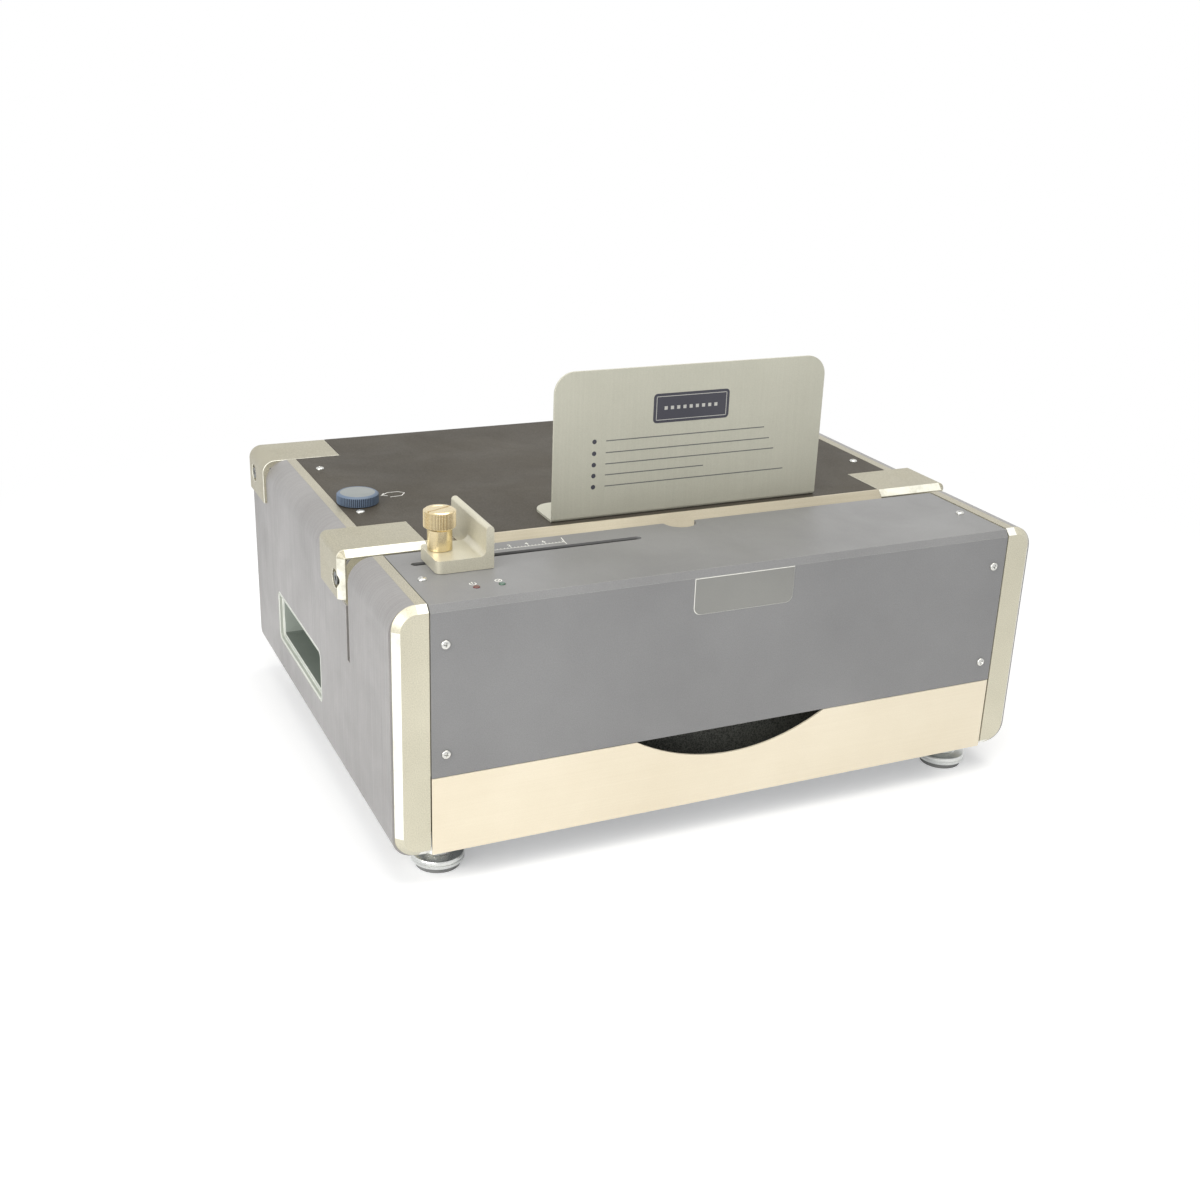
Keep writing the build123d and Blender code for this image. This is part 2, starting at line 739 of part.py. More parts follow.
def margin_knob():
    """Low round knob on the rear panel."""
    low = top_z + knob_gap
    knob = rod_z(knob_x, knob_y, knob_radius, (low, low + knob_height))
    knob = chamfer(knob.edges().filter_by(GeomType.CIRCLE).sort_by(Axis.Z)[-1], knob_chamfer)
    return knob - rod_z(knob_x, knob_y, knob_shaft_radius + 0.01, (low - 1, low + knob_height - knob_cap))


def knob_shaft():
    """Screw shaft that hangs from the knob and lifts the depth stop's arm."""
    low = base_z + stop_arm_low - shaft_tail
    top = top_z + knob_gap + knob_height - knob_cap
    boss_low = panel_z - rear_flange_thick - seam
    shaft = rod_z(knob_x, knob_y, knob_shaft_radius, (low, top))
    return shaft + rod_z(knob_x, knob_y, knob_shaft_radius + collar, (boss_low - collar, boss_low))


def depth_stop():
    """Bar under the paper with an arm and a nut boss on the knob's shaft."""
    top = base_z + stop_top
    y = (cover_rear + seam, throat_rear - seam)
    bar = block((-stop_half_length, stop_half_length), y, (top - stop_bar, top))
    low = base_z + stop_arm_low
    arm_x = (knob_x - stop_arm_width / 2, knob_x + stop_arm_width / 2)
    arm_z = (low, low + stop_arm_thick)
    link = block((arm_x[0], -stop_half_length + stop_arm_width), y, arm_z)
    arm = block(arm_x, (y[0], knob_y), arm_z)
    boss = rod_z(knob_x, knob_y, stop_boss_radius, (low, low + 2 * stop_arm_thick))
    stop = joined([bar, link, arm, boss])
    return stop - rod_z(knob_x, knob_y, knob_shaft_radius + running, (low - 1, low + 2 * stop_arm_thick + 1))


# ---------------------------------------------------------------- punch unit
def pin_row():
    """X positions of the punch pins."""
    first = -pin_pitch * (pin_count - 1) / 2
    return [first + pin_pitch * i for i in range(pin_count)]


def pin_section(x, play):
    """A pin's section in (x, z), wider by its play."""
    return rect((x - pin_wide / 2 - play, x + pin_wide / 2 + play),
                (pin_z - pin_tall / 2 - play, pin_z + pin_tall / 2 + play))


def punched(plate, y):
    """A plate with one opening for each pin."""
    return plate - [sweep_y(pin_section(x, running), (y[0] - 1, y[1] + 1)) for x in pin_row()]


def die_plate():
    """Hardened plate in front of the throat; chips leave it through relieved holes."""
    y = (cover_rear - die_thick, cover_rear)
    plate = block((-inner, inner), y, (die_z, cover_z - cover_lip - 1))
    first, last = pin_row()[0], pin_row()[-1]
    relief = block((first - pin_wide, last + pin_wide), (y[0] - 1, y[0] + relief_depth),
                   (pin_z - relief_height / 2, pin_z + relief_height / 2))
    return punched(plate - relief, y)


def punch_guide():
    """Guide plate behind the throat, with the seats of the two guide posts."""
    y = (throat_rear, guide_rear_face)
    plate = block((-inner, inner), y, (die_z, base_z + punch_guide_top))
    for x in (-post_x, post_x):
        plate -= rod_y(x, pin_z, post_radius + 0.02, (y[1] - post_seat, y[1] + 1))
    return punched(plate, y)


def ram_guide_posts():
    """Two round posts that the ram bar slides on."""
    y = (guide_rear_face - post_seat, ram_rear + post_tail)
    return [rod_y(x, pin_z, post_radius, y) for x in (-post_x, post_x)]


def punch_pins():
    """Flat punch pins, gripped in their holder."""
    return [sweep_y(pin_section(x, 0), (pin_tip, holder_front + pin_grip)) for x in pin_row()]


def pin_holder():
    """Bar that grips the pins' heads."""
    last = pin_row()[-1] + pin_wide
    bar = block((-last, last), (holder_front, ram_front), (pin_z - holder_tall / 2, pin_z + holder_tall / 2))
    return bar - [sweep_y(pin_section(x, 0), (holder_front - 1, holder_front + pin_grip)) for x in pin_row()]


def ram_bar():
    """Cross bar that pushes the pin holder and slides on the posts."""
    bar = block((-ram_half_length, ram_half_length), (ram_front, ram_rear),
                (pin_z - ram_tall / 2, pin_z + ram_tall / 2))
    for x in (-post_x, post_x):
        bar -= rod_y(x, pin_z, post_radius + running, (ram_front - 1, ram_rear + 1))
    return bar


def ram_yokes():
    """Closed yokes behind the ram bar, each round an eccentric disc."""
    mid = shaft_y + eccentricity
    tall = disc_radius + eccentricity + 1
    window = rect((mid - yoke_window, mid + yoke_window), (pin_z - tall, pin_z + tall))
    outline = rounded((mid - yoke_window - yoke_rim, mid + yoke_window + yoke_rim),
                      (pin_z - tall - yoke_rim, pin_z + tall + yoke_rim), yoke_corner)
    x = (-yoke_x - yoke_width / 2, -yoke_x + yoke_width / 2)
    return both(sweep_x(outline - window, x))


def eccentric_shaft():
    """Cross shaft with journals in both side frames."""
    end = half - frame_wall - shaft_end_gap
    return rod_x(shaft_y, pin_z, shaft_radius, (-end, end))


def eccentric_discs():
    """Discs set off the shaft's centre by half the stroke."""
    x = (-yoke_x - disc_width / 2, -yoke_x + disc_width / 2)
    disc = rod_x(shaft_y + eccentricity, pin_z, disc_radius, x)
    return both(disc - rod_x(shaft_y, pin_z, shaft_radius + 0.01, (x[0] - 1, x[1] + 1)))


def gear_outline(teeth, first_angle):
    """Involute spur gear outline about the origin, with one tooth centred on an angle."""
    pressure = radians(20)
    pitch = gear_module * teeth / 2
    base = pitch * cos(pressure)
    tip = pitch + gear_module
    root = pitch - 1.25 * gear_module
    start = max(base, root)
    radii = [start + (tip - start) * part for part in (0.0, 0.45, 1.0)]

    def half_angle(radius):
        roll = acos(min(1.0, base / radius))
        return (pi / (2 * teeth) - gear_backlash / (2 * pitch)
                + (tan(pressure) - pressure) - (tan(roll) - roll))

    points = []
    for tooth in range(teeth):
        centre = first_angle + 2 * pi * tooth / teeth
        flank = [(r, half_angle(r)) for r in radii]
        foot = [(root, half_angle(start))] if root < start - 0.05 else []
        rising = [(r, centre - a) for r, a in foot + flank]
        falling = [(r, centre + a) for r, a in reversed(foot + flank)]
        points += [(r * cos(a), r * sin(a)) for r, a in rising + falling]
    return Polygon(*points, align=None)


def drive_gear():
    """Large spur gear with a hub and lightening holes, on the eccentric shaft."""
    x = (gear_x, gear_x + gear_width)
    outline = gear_outline(gear_teeth, 0.0)
    for i in range(gear_holes):
        angle = 2 * pi * (i + 0.5) / gear_holes
        at = (gear_hole_circle * cos(angle), gear_hole_circle * sin(angle))
        outline -= Pos(*at) * Circle(gear_hole_radius)
    gear = sweep_x(Pos(shaft_y, pin_z) * outline, x)
    gear += rod_x(shaft_y, pin_z, gear_hub_radius, (x[0] - gear_hub, x[1] + gear_hub))
    return gear - rod_x(shaft_y, pin_z, shaft_radius + 0.01, (x[0] - gear_hub - 1, x[1] + gear_hub + 1))


def motor_pinion():
    """Pinion cut on the gearbox's output shaft."""
    gap_angle = pi + pi / pinion_teeth
    pinion = sweep_x(Pos(pinion_y, pin_z) * gear_outline(pinion_teeth, gap_angle),
                     (gear_x, gear_x + gear_width))
    return pinion + rod_x(pinion_y, pin_z, pinion_shaft_radius,
                          (gearbox_left + gearbox_width - pinion_seat, gear_x + gear_width + pinion_nose))


def gearbox():
    """Cast gearbox with a bored output boss."""
    right = gearbox_left + gearbox_width
    y = (pinion_y - gearbox_margin, motor_y + motor_radius)
    z = (base_z + gearbox_low, base_z + gearbox_low + gearbox_tall)
    box = sweep_x(rounded(y, z, gearbox_corner), (gearbox_left, right))
    box += rod_x(pinion_y, pin_z, gearbox_boss_radius, (right - 1, right + gearbox_boss))
    bore = pinion_shaft_radius + running
    return box - rod_x(pinion_y, pin_z, bore, (right - pinion_seat - seam, right + gearbox_boss + 1))


def motor():
    """Round motor with a stepped end bell."""
    left = gearbox_left - motor_length
    can = rod_x(motor_y, pin_z, motor_radius, (left + bell_length, gearbox_left))
    bell = rod_x(motor_y, pin_z, motor_radius - bell_step, (left, left + bell_length + 1))
    return can + bell


def motor_stand():
    """Folded channel that holds the gearbox above the base."""
    x = (gearbox_left, gearbox_left + gearbox_width)
    y = (pinion_y, motor_y + motor_radius - stand_inset)
    floor = base_z + base_sheet
    top = base_z + gearbox_low
    stand = block(x, y, (floor, top)) - block((x[0] - 1, x[1] + 1), (y[0] + stand_sheet, y[1] - stand_sheet),
                                              (floor - 1, top - stand_sheet))
    stand += block(x, (y[0] - stand_foot, y[0] + 1), (floor, floor + stand_sheet))
    return stand + block(x, (y[1] - 1, y[1] + stand_foot), (floor, floor + stand_sheet))


def left_shaft_bush():
    """Bronze bush in the frame's boss."""
    x = (-inner - bush_length - edge_clear, -inner - edge_clear)
    ring = rod_x(shaft_y, pin_z, shaft_radius + bush_wall, x)
    return ring - rod_x(shaft_y, pin_z, shaft_radius + running, (x[0] - 1, x[1] + 1))


# ---------------------------------------------------------------- chip tray and base
def base_plate():
    """Steel floor with turned-up sides."""
    z = (base_z, base_z + base_sheet)
    y = (base_front, body_depth - sheet)
    plate = block((-inner, inner), y, z)
    for side in ((-inner, -inner + base_sheet), (inner - base_sheet, inner)):
        plate += block(side, (y[0], y[1] - flange_thick), (base_z, base_z + base_flange))
    for x, y_foot in foot_points():
        plate -= rod_z(x, y_foot, stud_radius + running, (base_z - 1, base_z + base_sheet + 1))
    return plate


def tray_runners():
    """Strips on the base that keep the tray straight."""
    floor = base_z + base_sheet
    strip = block((-inner + base_sheet, -tray_half_width - seam), (base_front, runner_rear),
                  (floor, floor + runner_height))
    return both(strip)


def chip_bin():
    """Open bin whose front wall is set back to leave room for the fingers."""
    floor = base_z + base_sheet + seam
    x = (-tray_half_width, tray_half_width)
    top = base_z + tray_height
    body = block(x, (sheet, tray_length), (floor, top))
    room = (x[0] + tray_wall, x[1] - tray_wall)
    body -= block(room, (tray_pocket + tray_wall, tray_length - tray_wall), (floor + tray_wall, top + 1))
    return body - block(room, (sheet - 1, tray_pocket), (floor + tray_wall, top + 1))


def tray_front():
    """Front plate with an arched cut-out for the fingers."""
    edge = inner - 0.5
    outline = rect((-edge, edge), (base_z + 0.5, base_z + cover_bottom - 0.5))
    sagitta_radius = (cut_chord ** 2 / 4 + cut_depth ** 2) / (2 * cut_depth)
    centre_z = base_z + cover_bottom - cut_depth + sagitta_radius
    outline -= Pos(0, centre_z) * Circle(sagitta_radius)
    return sweep_y(outline, (0, sheet))


def foot_points():
    """Centres of the four feet."""
    x = half - foot_inset_x
    return [(sx * x, y) for y in (foot_inset_y, body_depth - foot_inset_y) for sx in (-1, 1)]


def foot(x, y):
    """Turned levelling foot: disc, neck and stud."""
    disc = rod_z(x, y, foot_radius, (pad_height, pad_height + foot_disc))
    disc = fillet(disc.edges().filter_by(GeomType.CIRCLE), foot_edge)
    neck = rod_z(x, y, foot_neck_radius, (pad_height + foot_disc - 1, base_z))
    stud = rod_z(x, y, stud_radius, (base_z - 1, base_z + base_sheet - seam))
    return disc + neck + stud


def foot_pads():
    """Rubber pads under the feet."""
    return [rod_z(x, y, pad_radius, (0, pad_height)) for x, y in foot_points()]


# ---------------------------------------------------------------- electrics
def control_board():
    """Printed board on posts, with a transformer, a relay and two capacitors."""
    floor = base_z + base_sheet
    z = floor + board_post
    x = (-inner + board_inset[0], -inner + board_inset[0] + board_size[0])
    y = (body_depth - board_inset[1] - board_size[1], body_depth - board_inset[1])
    parts = [block(x, y, (z, z + board_sheet))]
    inset = 2 * board_post_radius
    for px in (x[0] + inset, x[1] - inset):
        for py in (y[0] + inset, y[1] - inset):
            parts.append(rod_z(px, py, board_post_radius, (floor, z + component_sink)))
    seat = z + board_sheet - component_sink
    row = y[0] + component_row
    left = x[0] + component_edge
    middle = x[0] + board_size[0] / 2
    right = x[1] - component_edge - capacitor_radius
    for px, (wide, deep, tall) in ((left, transformer), (middle, relay)):
        parts.append(block((px, px + wide), (row, row + deep), (seat, seat + tall)))
    for py in (row, row + 3 * capacitor_radius):
        parts.append(rod_z(right, py, capacitor_radius, (seat, seat + capacitor_height)))
    return joined(parts)


def power_inlet():
    """Three-pin mains inlet let into the back cover."""
    w, h = inlet_size
    z = base_z + electric_z
    reach = w / 2 + inlet_flange
    flange = sweep_y(rounded((inlet_x - reach, inlet_x + reach),
                             (z - h / 2 - housing_wall, z + h / 2 + housing_wall), inlet_flange / 2),
                     (body_depth, body_depth + bezel))
    body = block((inlet_x - w / 2 + 2 * running, inlet_x + w / 2 - 2 * running),
                 (body_depth - inlet_body, body_depth + 1),
                 (z - h / 2 + 2 * running, z + h / 2 - 2 * running))
    well = sweep_y(rounded((inlet_x - w / 2 + housing_wall, inlet_x + w / 2 - housing_wall),
                           (z - h / 2 + housing_wall, z + h / 2 - housing_wall), housing_wall),
                   (body_depth - inlet_well, body_depth + bezel + 1))
    inlet = flange + body - well
    for dx, dz in ((-7, -1.5), (7, -1.5), (0, 2.5)):
        inlet += block((inlet_x + dx - 1, inlet_x + dx + 1), (body_depth - inlet_well - 1, body_depth - 1),
                       (z + dz - 2, z + dz + 2))
    return inlet


def switch_housing():
    """Bezel and body of the mains switch."""
    w, h = switch_size
    z = base_z + electric_z
    outer = rounded((switch_x - w / 2 - housing_wall, switch_x + w / 2 + housing_wall),
                    (z - h / 2 - housing_wall, z + h / 2 + housing_wall), housing_wall)
    body = block((switch_x - w / 2 + 2 * running, switch_x + w / 2 - 2 * running),
                 (body_depth - switch_body, body_depth + 1),
                 (z - h / 2 + 2 * running, z + h / 2 - 2 * running))
    well = block((switch_x - w / 2 + housing_wall, switch_x + w / 2 - housing_wall),
                 (body_depth - switch_well, body_depth + bezel + 1),
                 (z - h / 2 + housing_wall, z + h / 2 - housing_wall))
    reach = w / 2 - housing_wall + pivot_length
    pivots = rod_x(body_depth - pivot_inset, z, pivot_radius + running, (switch_x - reach, switch_x + reach))
    return sweep_y(outer, (body_depth, body_depth + bezel)) + body - [well, pivots]


def switch_rocker():
    """Rocker that tips about a cross axis, at rest with its lower end in."""
    w, h = switch_size
    z = base_z + electric_z
    x = (switch_x - w / 2 + housing_wall + seam, switch_x + w / 2 - housing_wall - seam)
    reach = h / 2 - housing_wall - 1.2
    profile = Polygon((-4, -reach + 1), (0.4, -reach), (-1.6, 0), (0.4, reach), (-4, reach - 1), align=None)
    rocker = sweep_x(Pos(body_depth, z) * profile, x)
    rocker = rocker.rotate(Axis((0, body_depth - pivot_inset, z), (1, 0, 0)), rocker_tilt)
    pivots = rod_x(body_depth - pivot_inset, z, pivot_radius,
                   (x[0] - pivot_length + running, x[1] + pivot_length - running))
    return rocker + pivots


def fuse_holder():
    """Round fuse holder with a slotted cap."""
    z = base_z + electric_z
    wide, tall = fuse_slot
    cap = rod_y(fuse_x, z, fuse_radius + housing_wall, (body_depth, body_depth + bezel))
    cap -= block((fuse_x - wide / 2, fuse_x + wide / 2), (body_depth + bezel / 2, body_depth + bezel + 1),
                 (z - tall / 2, z + tall / 2))
    return cap + rod_y(fuse_x, z, fuse_radius - running, (body_depth - fuse_body, body_depth + bezel / 4))


def lamp(x):
    """Small round lens with a collar under the cover."""
    lens = rod_z(x, lamp_y, lamp_radius, (cover_z - sheet - lamp_depth, cover_z + lamp_proud))
    lens = fillet(lens.edges().filter_by(GeomType.CIRCLE).sort_by(Axis.Z)[-1], lamp_proud - 0.1)
    return lens + rod_z(x, lamp_y, lamp_radius + lamp_collar,
                        (cover_z - sheet - lamp_depth - 1, cover_z - sheet))


# ---------------------------------------------------------------- assembly
def assembly():
    """Every node's name with its solid or solids."""
    frame = left_side_frame()
    panel = left_side_panel()
    cup = left_handle_cup()
    mid = left_bracket(mid_bracket_front, mid_bracket_width, mid_screw, True)
    rear = left_bracket(rear_bracket_front, rear_bracket_width, rear_screw, False)
    bush = left_shaft_bush()
    nodes = {
        "base_plate": base_plate(),
        "left_side_frame": finished_frame(frame, True),
        "right_side_frame": finished_frame(mirrored(frame), False),
        "left_side_panel": panel,
        "right_side_panel": mirrored(panel),
        "left_mid_bracket": mid,
        "right_mid_bracket": mirrored(mid),
        "left_rear_bracket": rear,
        "right_rear_bracket": mirrored(rear),
        "bracket_screws": bracket_screws(),
        "front_cover": front_cover(),
        "front_cover_screws": [pan_screw(p, FRONT) for p in cover_front_points]
        + [pan_screw(p, UP) for p in cover_top_points],
        "rear_top_panel": rear_top_panel(),
        "top_panel_screws": [pan_screw(p, UP) for p in panel_points],
        "throat_rail": throat_rail(),
        "back_cover": back_cover(),
        "back_cover_screws": [pan_screw(p, REAR) for p in back_points],
        "backrest": backrest(),
        "backrest_screws": [pan_screw(p, UP) for p in backrest_points],
        "left_handle_cup": cup,
        "right_handle_cup": mirrored(cup),
        "edge_guide": edge_guide(),
        "guide_clamp_plate": guide_clamp_plate(),
        "thumb_screw": thumb_screw(),
        "margin_knob": margin_knob(),
        "knob_shaft": knob_shaft(),
        "depth_stop": depth_stop(),
        "die_plate": die_plate(),
        "punch_guide": punch_guide(),
        "ram_guide_posts": ram_guide_posts(),
        "punch_pins": punch_pins(),
        "pin_holder": pin_holder(),
        "ram_bar": ram_bar(),
        "ram_yokes": ram_yokes(),
        "eccentric_shaft": eccentric_shaft(),
        "eccentric_discs": eccentric_discs(),
        "drive_gear": drive_gear(),
        "motor_pinion": motor_pinion(),
        "gearbox": gearbox(),
        "motor": motor(),
        "motor_stand": motor_stand(),
        "left_shaft_bush": bush,
        "right_shaft_bush": mirrored(bush),
        "chip_bin": chip_bin(),
        "tray_front": tray_front(),
        "tray_runners": tray_runners(),
        "foot_pads": foot_pads(),
        "control_board": control_board(),
        "power_inlet": power_inlet(),
        "switch_housing": switch_housing(),
        "switch_rocker": switch_rocker(),
        "fuse_holder": fuse_holder(),
        "power_lamp": lamp(lamp_x[0]),
        "ready_lamp": lamp(lamp_x[1]),
    }
    names = ("front_left_foot", "front_right_foot", "rear_left_foot", "rear_right_foot")
    for name, (x, y) in zip(names, foot_points()):
        nodes[name] = foot(x, y)
    return nodes


def write_parts():
    """Centre the machine on its base and write one file for each node."""
    os.makedirs("parts", exist_ok=True)
    nodes = {name: shape if isinstance(shape, list) else shape.solids()
             for name, shape in assembly().items()}
    boxes = [solid.bounding_box() for solids in nodes.values() for solid in solids]
    mid_x = (min(b.min.X for b in boxes) + max(b.max.X for b in boxes)) / 2
    mid_y = (min(b.min.Y for b in boxes) + max(b.max.Y for b in boxes)) / 2
    low_z = min(b.min.Z for b in boxes)
    for name, solids in nodes.items():
        placed = [solid.translate((-mid_x, -mid_y, -low_z)) for solid in solids]
        export_step(placed[0] if len(placed) == 1 else Compound(placed), f"parts/{name}.step")
    print("origin in machine coordinates", round(mid_x, 4), round(mid_y, 4), round(low_z, 4))


write_parts()
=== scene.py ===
"""Electric hole punch for binding: the looks of every piece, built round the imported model."""
from math import cos, pi, radians, sin

import bmesh
import bpy
from mathutils import Matrix, Vector


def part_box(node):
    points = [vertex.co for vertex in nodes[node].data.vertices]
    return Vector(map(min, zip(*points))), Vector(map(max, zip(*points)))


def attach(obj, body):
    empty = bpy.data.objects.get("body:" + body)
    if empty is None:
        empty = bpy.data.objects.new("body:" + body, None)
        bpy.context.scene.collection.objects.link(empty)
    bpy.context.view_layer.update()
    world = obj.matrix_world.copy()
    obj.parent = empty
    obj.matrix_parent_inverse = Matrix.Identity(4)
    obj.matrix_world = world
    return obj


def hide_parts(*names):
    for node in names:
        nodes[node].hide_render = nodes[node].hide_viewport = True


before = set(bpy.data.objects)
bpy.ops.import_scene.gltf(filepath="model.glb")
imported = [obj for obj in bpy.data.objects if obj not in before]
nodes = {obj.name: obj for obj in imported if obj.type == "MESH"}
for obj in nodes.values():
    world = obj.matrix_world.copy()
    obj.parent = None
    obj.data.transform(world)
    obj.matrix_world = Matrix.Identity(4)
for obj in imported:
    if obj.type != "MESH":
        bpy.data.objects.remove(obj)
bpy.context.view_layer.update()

# ---------------------------------------------------------------- levelling feet
# Four turned steel feet with a zinc finish: a disc with a rolled edge and a groove, a neck and
# a stud that is screwed into the floor plate.  Each stands on a moulded rubber pad.
front_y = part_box("front_cover")[0].y        # the machine's front face


def mm(x, y, z):
    """A place given in millimetres: right of the middle, behind the front face, above the desk."""
    return Vector((x / 1000, front_y + y / 1000, z / 1000))


def colour(r, g, b):
    """A screen colour, 0 to 255, as the linear colour that the shaders take."""
    linear = [v / 3294.6 if v < 10.3 else ((v / 255 + 0.055) / 1.055) ** 2.4 for v in (r, g, b)]
    return (*linear, 1.0)


def put(tree, kind, sockets=None, **settings):
    """Adds a node, with its settings and the values or links of its sockets."""
    made = tree.nodes.new(kind)
    for name, value in settings.items():
        setattr(made, name, value)
    for name, value in (sockets or {}).items():
        if isinstance(value, bpy.types.NodeSocket):
            tree.links.new(value, made.inputs[name])
        else:
            made.inputs[name].default_value = value
    return made


def group_tree(name, kind, inputs, outputs):
    """An empty node group with named sockets: inputs (name, type, value) and outputs (name, type)."""
    tree = bpy.data.node_groups.new(name, kind)
    for label, socket, value in inputs:
        made = tree.interface.new_socket(label, in_out="INPUT", socket_type=socket)
        if value is not None:
            made.default_value = value
    for label, socket in outputs:
        tree.interface.new_socket(label, in_out="OUTPUT", socket_type=socket)
    return tree, tree.nodes.new("NodeGroupInput").outputs, tree.nodes.new("NodeGroupOutput").inputs


# fine grain of a blasted, cast or powder-coated face, with slow drifts of tone across it
grain, given, out = group_tree(
    "surface grain", "ShaderNodeTree",
    [("Grain per Metre", "NodeSocketFloat", 1500.0), ("Drift per Metre", "NodeSocketFloat", 9.0)],
    [("Grain", "NodeSocketFloat"), ("Drift", "NodeSocketFloat")])
where = put(grain, "ShaderNodeTexCoord").outputs["Object"]
fine = put(grain, "ShaderNodeTexNoise", {"Vector": where, "Scale": given["Grain per Metre"],
                                         "Detail": 3.0, "Roughness": 0.6})
slow = put(grain, "ShaderNodeTexNoise", {"Vector": where, "Scale": given["Drift per Metre"],
                                         "Detail": 4.0, "Roughness": 0.55})
spread = put(grain, "ShaderNodeMapRange", {"Value": fine.outputs["Fac"], "From Min": 0.3, "From Max": 0.7})
grain.links.new(spread.outputs["Result"], out["Grain"])
spread = put(grain, "ShaderNodeMapRange", {"Value": slow.outputs["Fac"], "From Min": 0.32, "From Max": 0.68})
grain.links.new(spread.outputs["Result"], out["Drift"])

# lines left by brushing or rolling: noise drawn out along one way
lines, given, out = group_tree(
    "brushed lines", "ShaderNodeTree", [("Lines per Metre", "NodeSocketVector", (900.0, 900.0, 6.0))],
    [("Line", "NodeSocketFloat")])
where = put(lines, "ShaderNodeTexCoord").outputs["Object"]
drawn = put(lines, "ShaderNodeVectorMath", {0: where, 1: given["Lines per Metre"]}, operation="MULTIPLY")
noise = put(lines, "ShaderNodeTexNoise", {"Vector": drawn.outputs["Vector"], "Scale": 1.0, "Detail": 4.0,
                                          "Roughness": 0.65})
spread = put(lines, "ShaderNodeMapRange", {"Value": noise.outputs["Fac"], "From Min": 0.28, "From Max": 0.72})
lines.links.new(spread.outputs["Result"], out["Line"])

# finish rubbed thin along eased edges, in patches, and faint smudges that change the gloss
wear, given, out = group_tree(
    "edge wear", "ShaderNodeTree",
    [("Amount", "NodeSocketFloat", 0.6), ("Patches per Metre", "NodeSocketFloat", 55.0)],
    [("Worn", "NodeSocketFloat"), ("Smudge", "NodeSocketFloat")])
where = put(wear, "ShaderNodeTexCoord").outputs["Object"]
edge = put(wear, "ShaderNodeAttribute", attribute_name="edge")
patch = put(wear, "ShaderNodeTexNoise", {"Vector": where, "Scale": given["Patches per Metre"],
                                         "Detail": 5.0, "Roughness": 0.7})
patch = put(wear, "ShaderNodeMapRange", {"Value": patch.outputs["Fac"], "From Min": 0.35, "From Max": 0.62,
                                         "To Min": 0.4})
both = put(wear, "ShaderNodeMath", {0: edge.outputs["Fac"], 1: patch.outputs["Result"]}, operation="MULTIPLY")
both = put(wear, "ShaderNodeMath", {0: both.outputs["Value"], 1: given["Amount"]}, operation="MULTIPLY")
wear.links.new(both.outputs["Value"], out["Worn"])
smudge = put(wear, "ShaderNodeTexNoise", {"Vector": where, "Scale": 17.0, "Detail": 6.0, "Roughness": 0.62,
                                          "Distortion": 0.6})
smudge = put(wear, "ShaderNodeMapRange", {"Value": smudge.outputs["Fac"], "From Min": 0.35, "From Max": 0.68})
wear.links.new(smudge.outputs["Result"], out["Smudge"])


def finish(name, dark, light, metallic, rough, grain_mm=0.7, grain_share=0.35, drift_share=0.4,
           along=None, line_share=0.0, relief_mm=0.02, worn=None, wear_amount=0.6, specular=0.5, coat=0.0):
    """A coated or bare face that runs between two tones by its grain, its drift and its brushed lines."""
    material = bpy.data.materials.new(name)
    material.use_nodes = True
    tree = material.node_tree
    shader = tree.nodes["Principled BSDF"]
    dots = put(tree, "ShaderNodeGroup", node_tree=grain)
    dots.inputs["Grain per Metre"].default_value = 1000.0 / grain_mm
    edges = put(tree, "ShaderNodeGroup", node_tree=wear)
    edges.inputs["Amount"].default_value = wear_amount
    tone = put(tree, "ShaderNodeMath", {0: dots.outputs["Grain"], 1: grain_share}, operation="MULTIPLY")
    tone = put(tree, "ShaderNodeMath", {0: dots.outputs["Drift"], 1: drift_share, 2: tone.outputs["Value"]},
               operation="MULTIPLY_ADD")
    height = dots.outputs["Grain"]
    if along:
        brushed = put(tree, "ShaderNodeGroup", node_tree=lines)
        brushed.inputs["Lines per Metre"].default_value = along
        tone = put(tree, "ShaderNodeMath", {0: brushed.outputs["Line"], 1: line_share,
                                            2: tone.outputs["Value"]}, operation="MULTIPLY_ADD")
        height = put(tree, "ShaderNodeMath", {0: dots.outputs["Grain"], 1: brushed.outputs["Line"]},
                     operation="ADD").outputs["Value"]
    base = put(tree, "ShaderNodeMix", data_type="RGBA")
    tree.links.new(tone.outputs["Value"], base.inputs["Factor"])
    base.inputs[6].default_value, base.inputs[7].default_value = colour(*dark), colour(*light)
    shown = base.outputs[2]
    if worn:
        rubbed = put(tree, "ShaderNodeMix", data_type="RGBA")
        tree.links.new(edges.outputs["Worn"], rubbed.inputs["Factor"])
        tree.links.new(shown, rubbed.inputs[6])
        rubbed.inputs[7].default_value = colour(*worn)
        shown = rubbed.outputs[2]
    tree.links.new(shown, shader.inputs["Base Color"])
    shine = put(tree, "ShaderNodeMapRange", {"Value": edges.outputs["Smudge"], "To Min": rough[0],
                                             "To Max": rough[1]})
    tree.links.new(shine.outputs["Result"], shader.inputs["Roughness"])
    bump = put(tree, "ShaderNodeBump", {"Height": height, "Strength": 1.0, "Distance": relief_mm / 1000})
    tree.links.new(bump.outputs["Normal"], shader.inputs["Normal"])
    shader.inputs["Metallic"].default_value = metallic
    shader.inputs["Specular IOR Level"].default_value = specular
    shader.inputs["Coat Weight"].default_value = coat
    return material


def dressed(obj, body, stands_for=()):
    """Rides on its body and stands for the CAD nodes that it replaces."""
    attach(obj, body)
    if stands_for:
        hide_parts(*stands_for)
    return obj


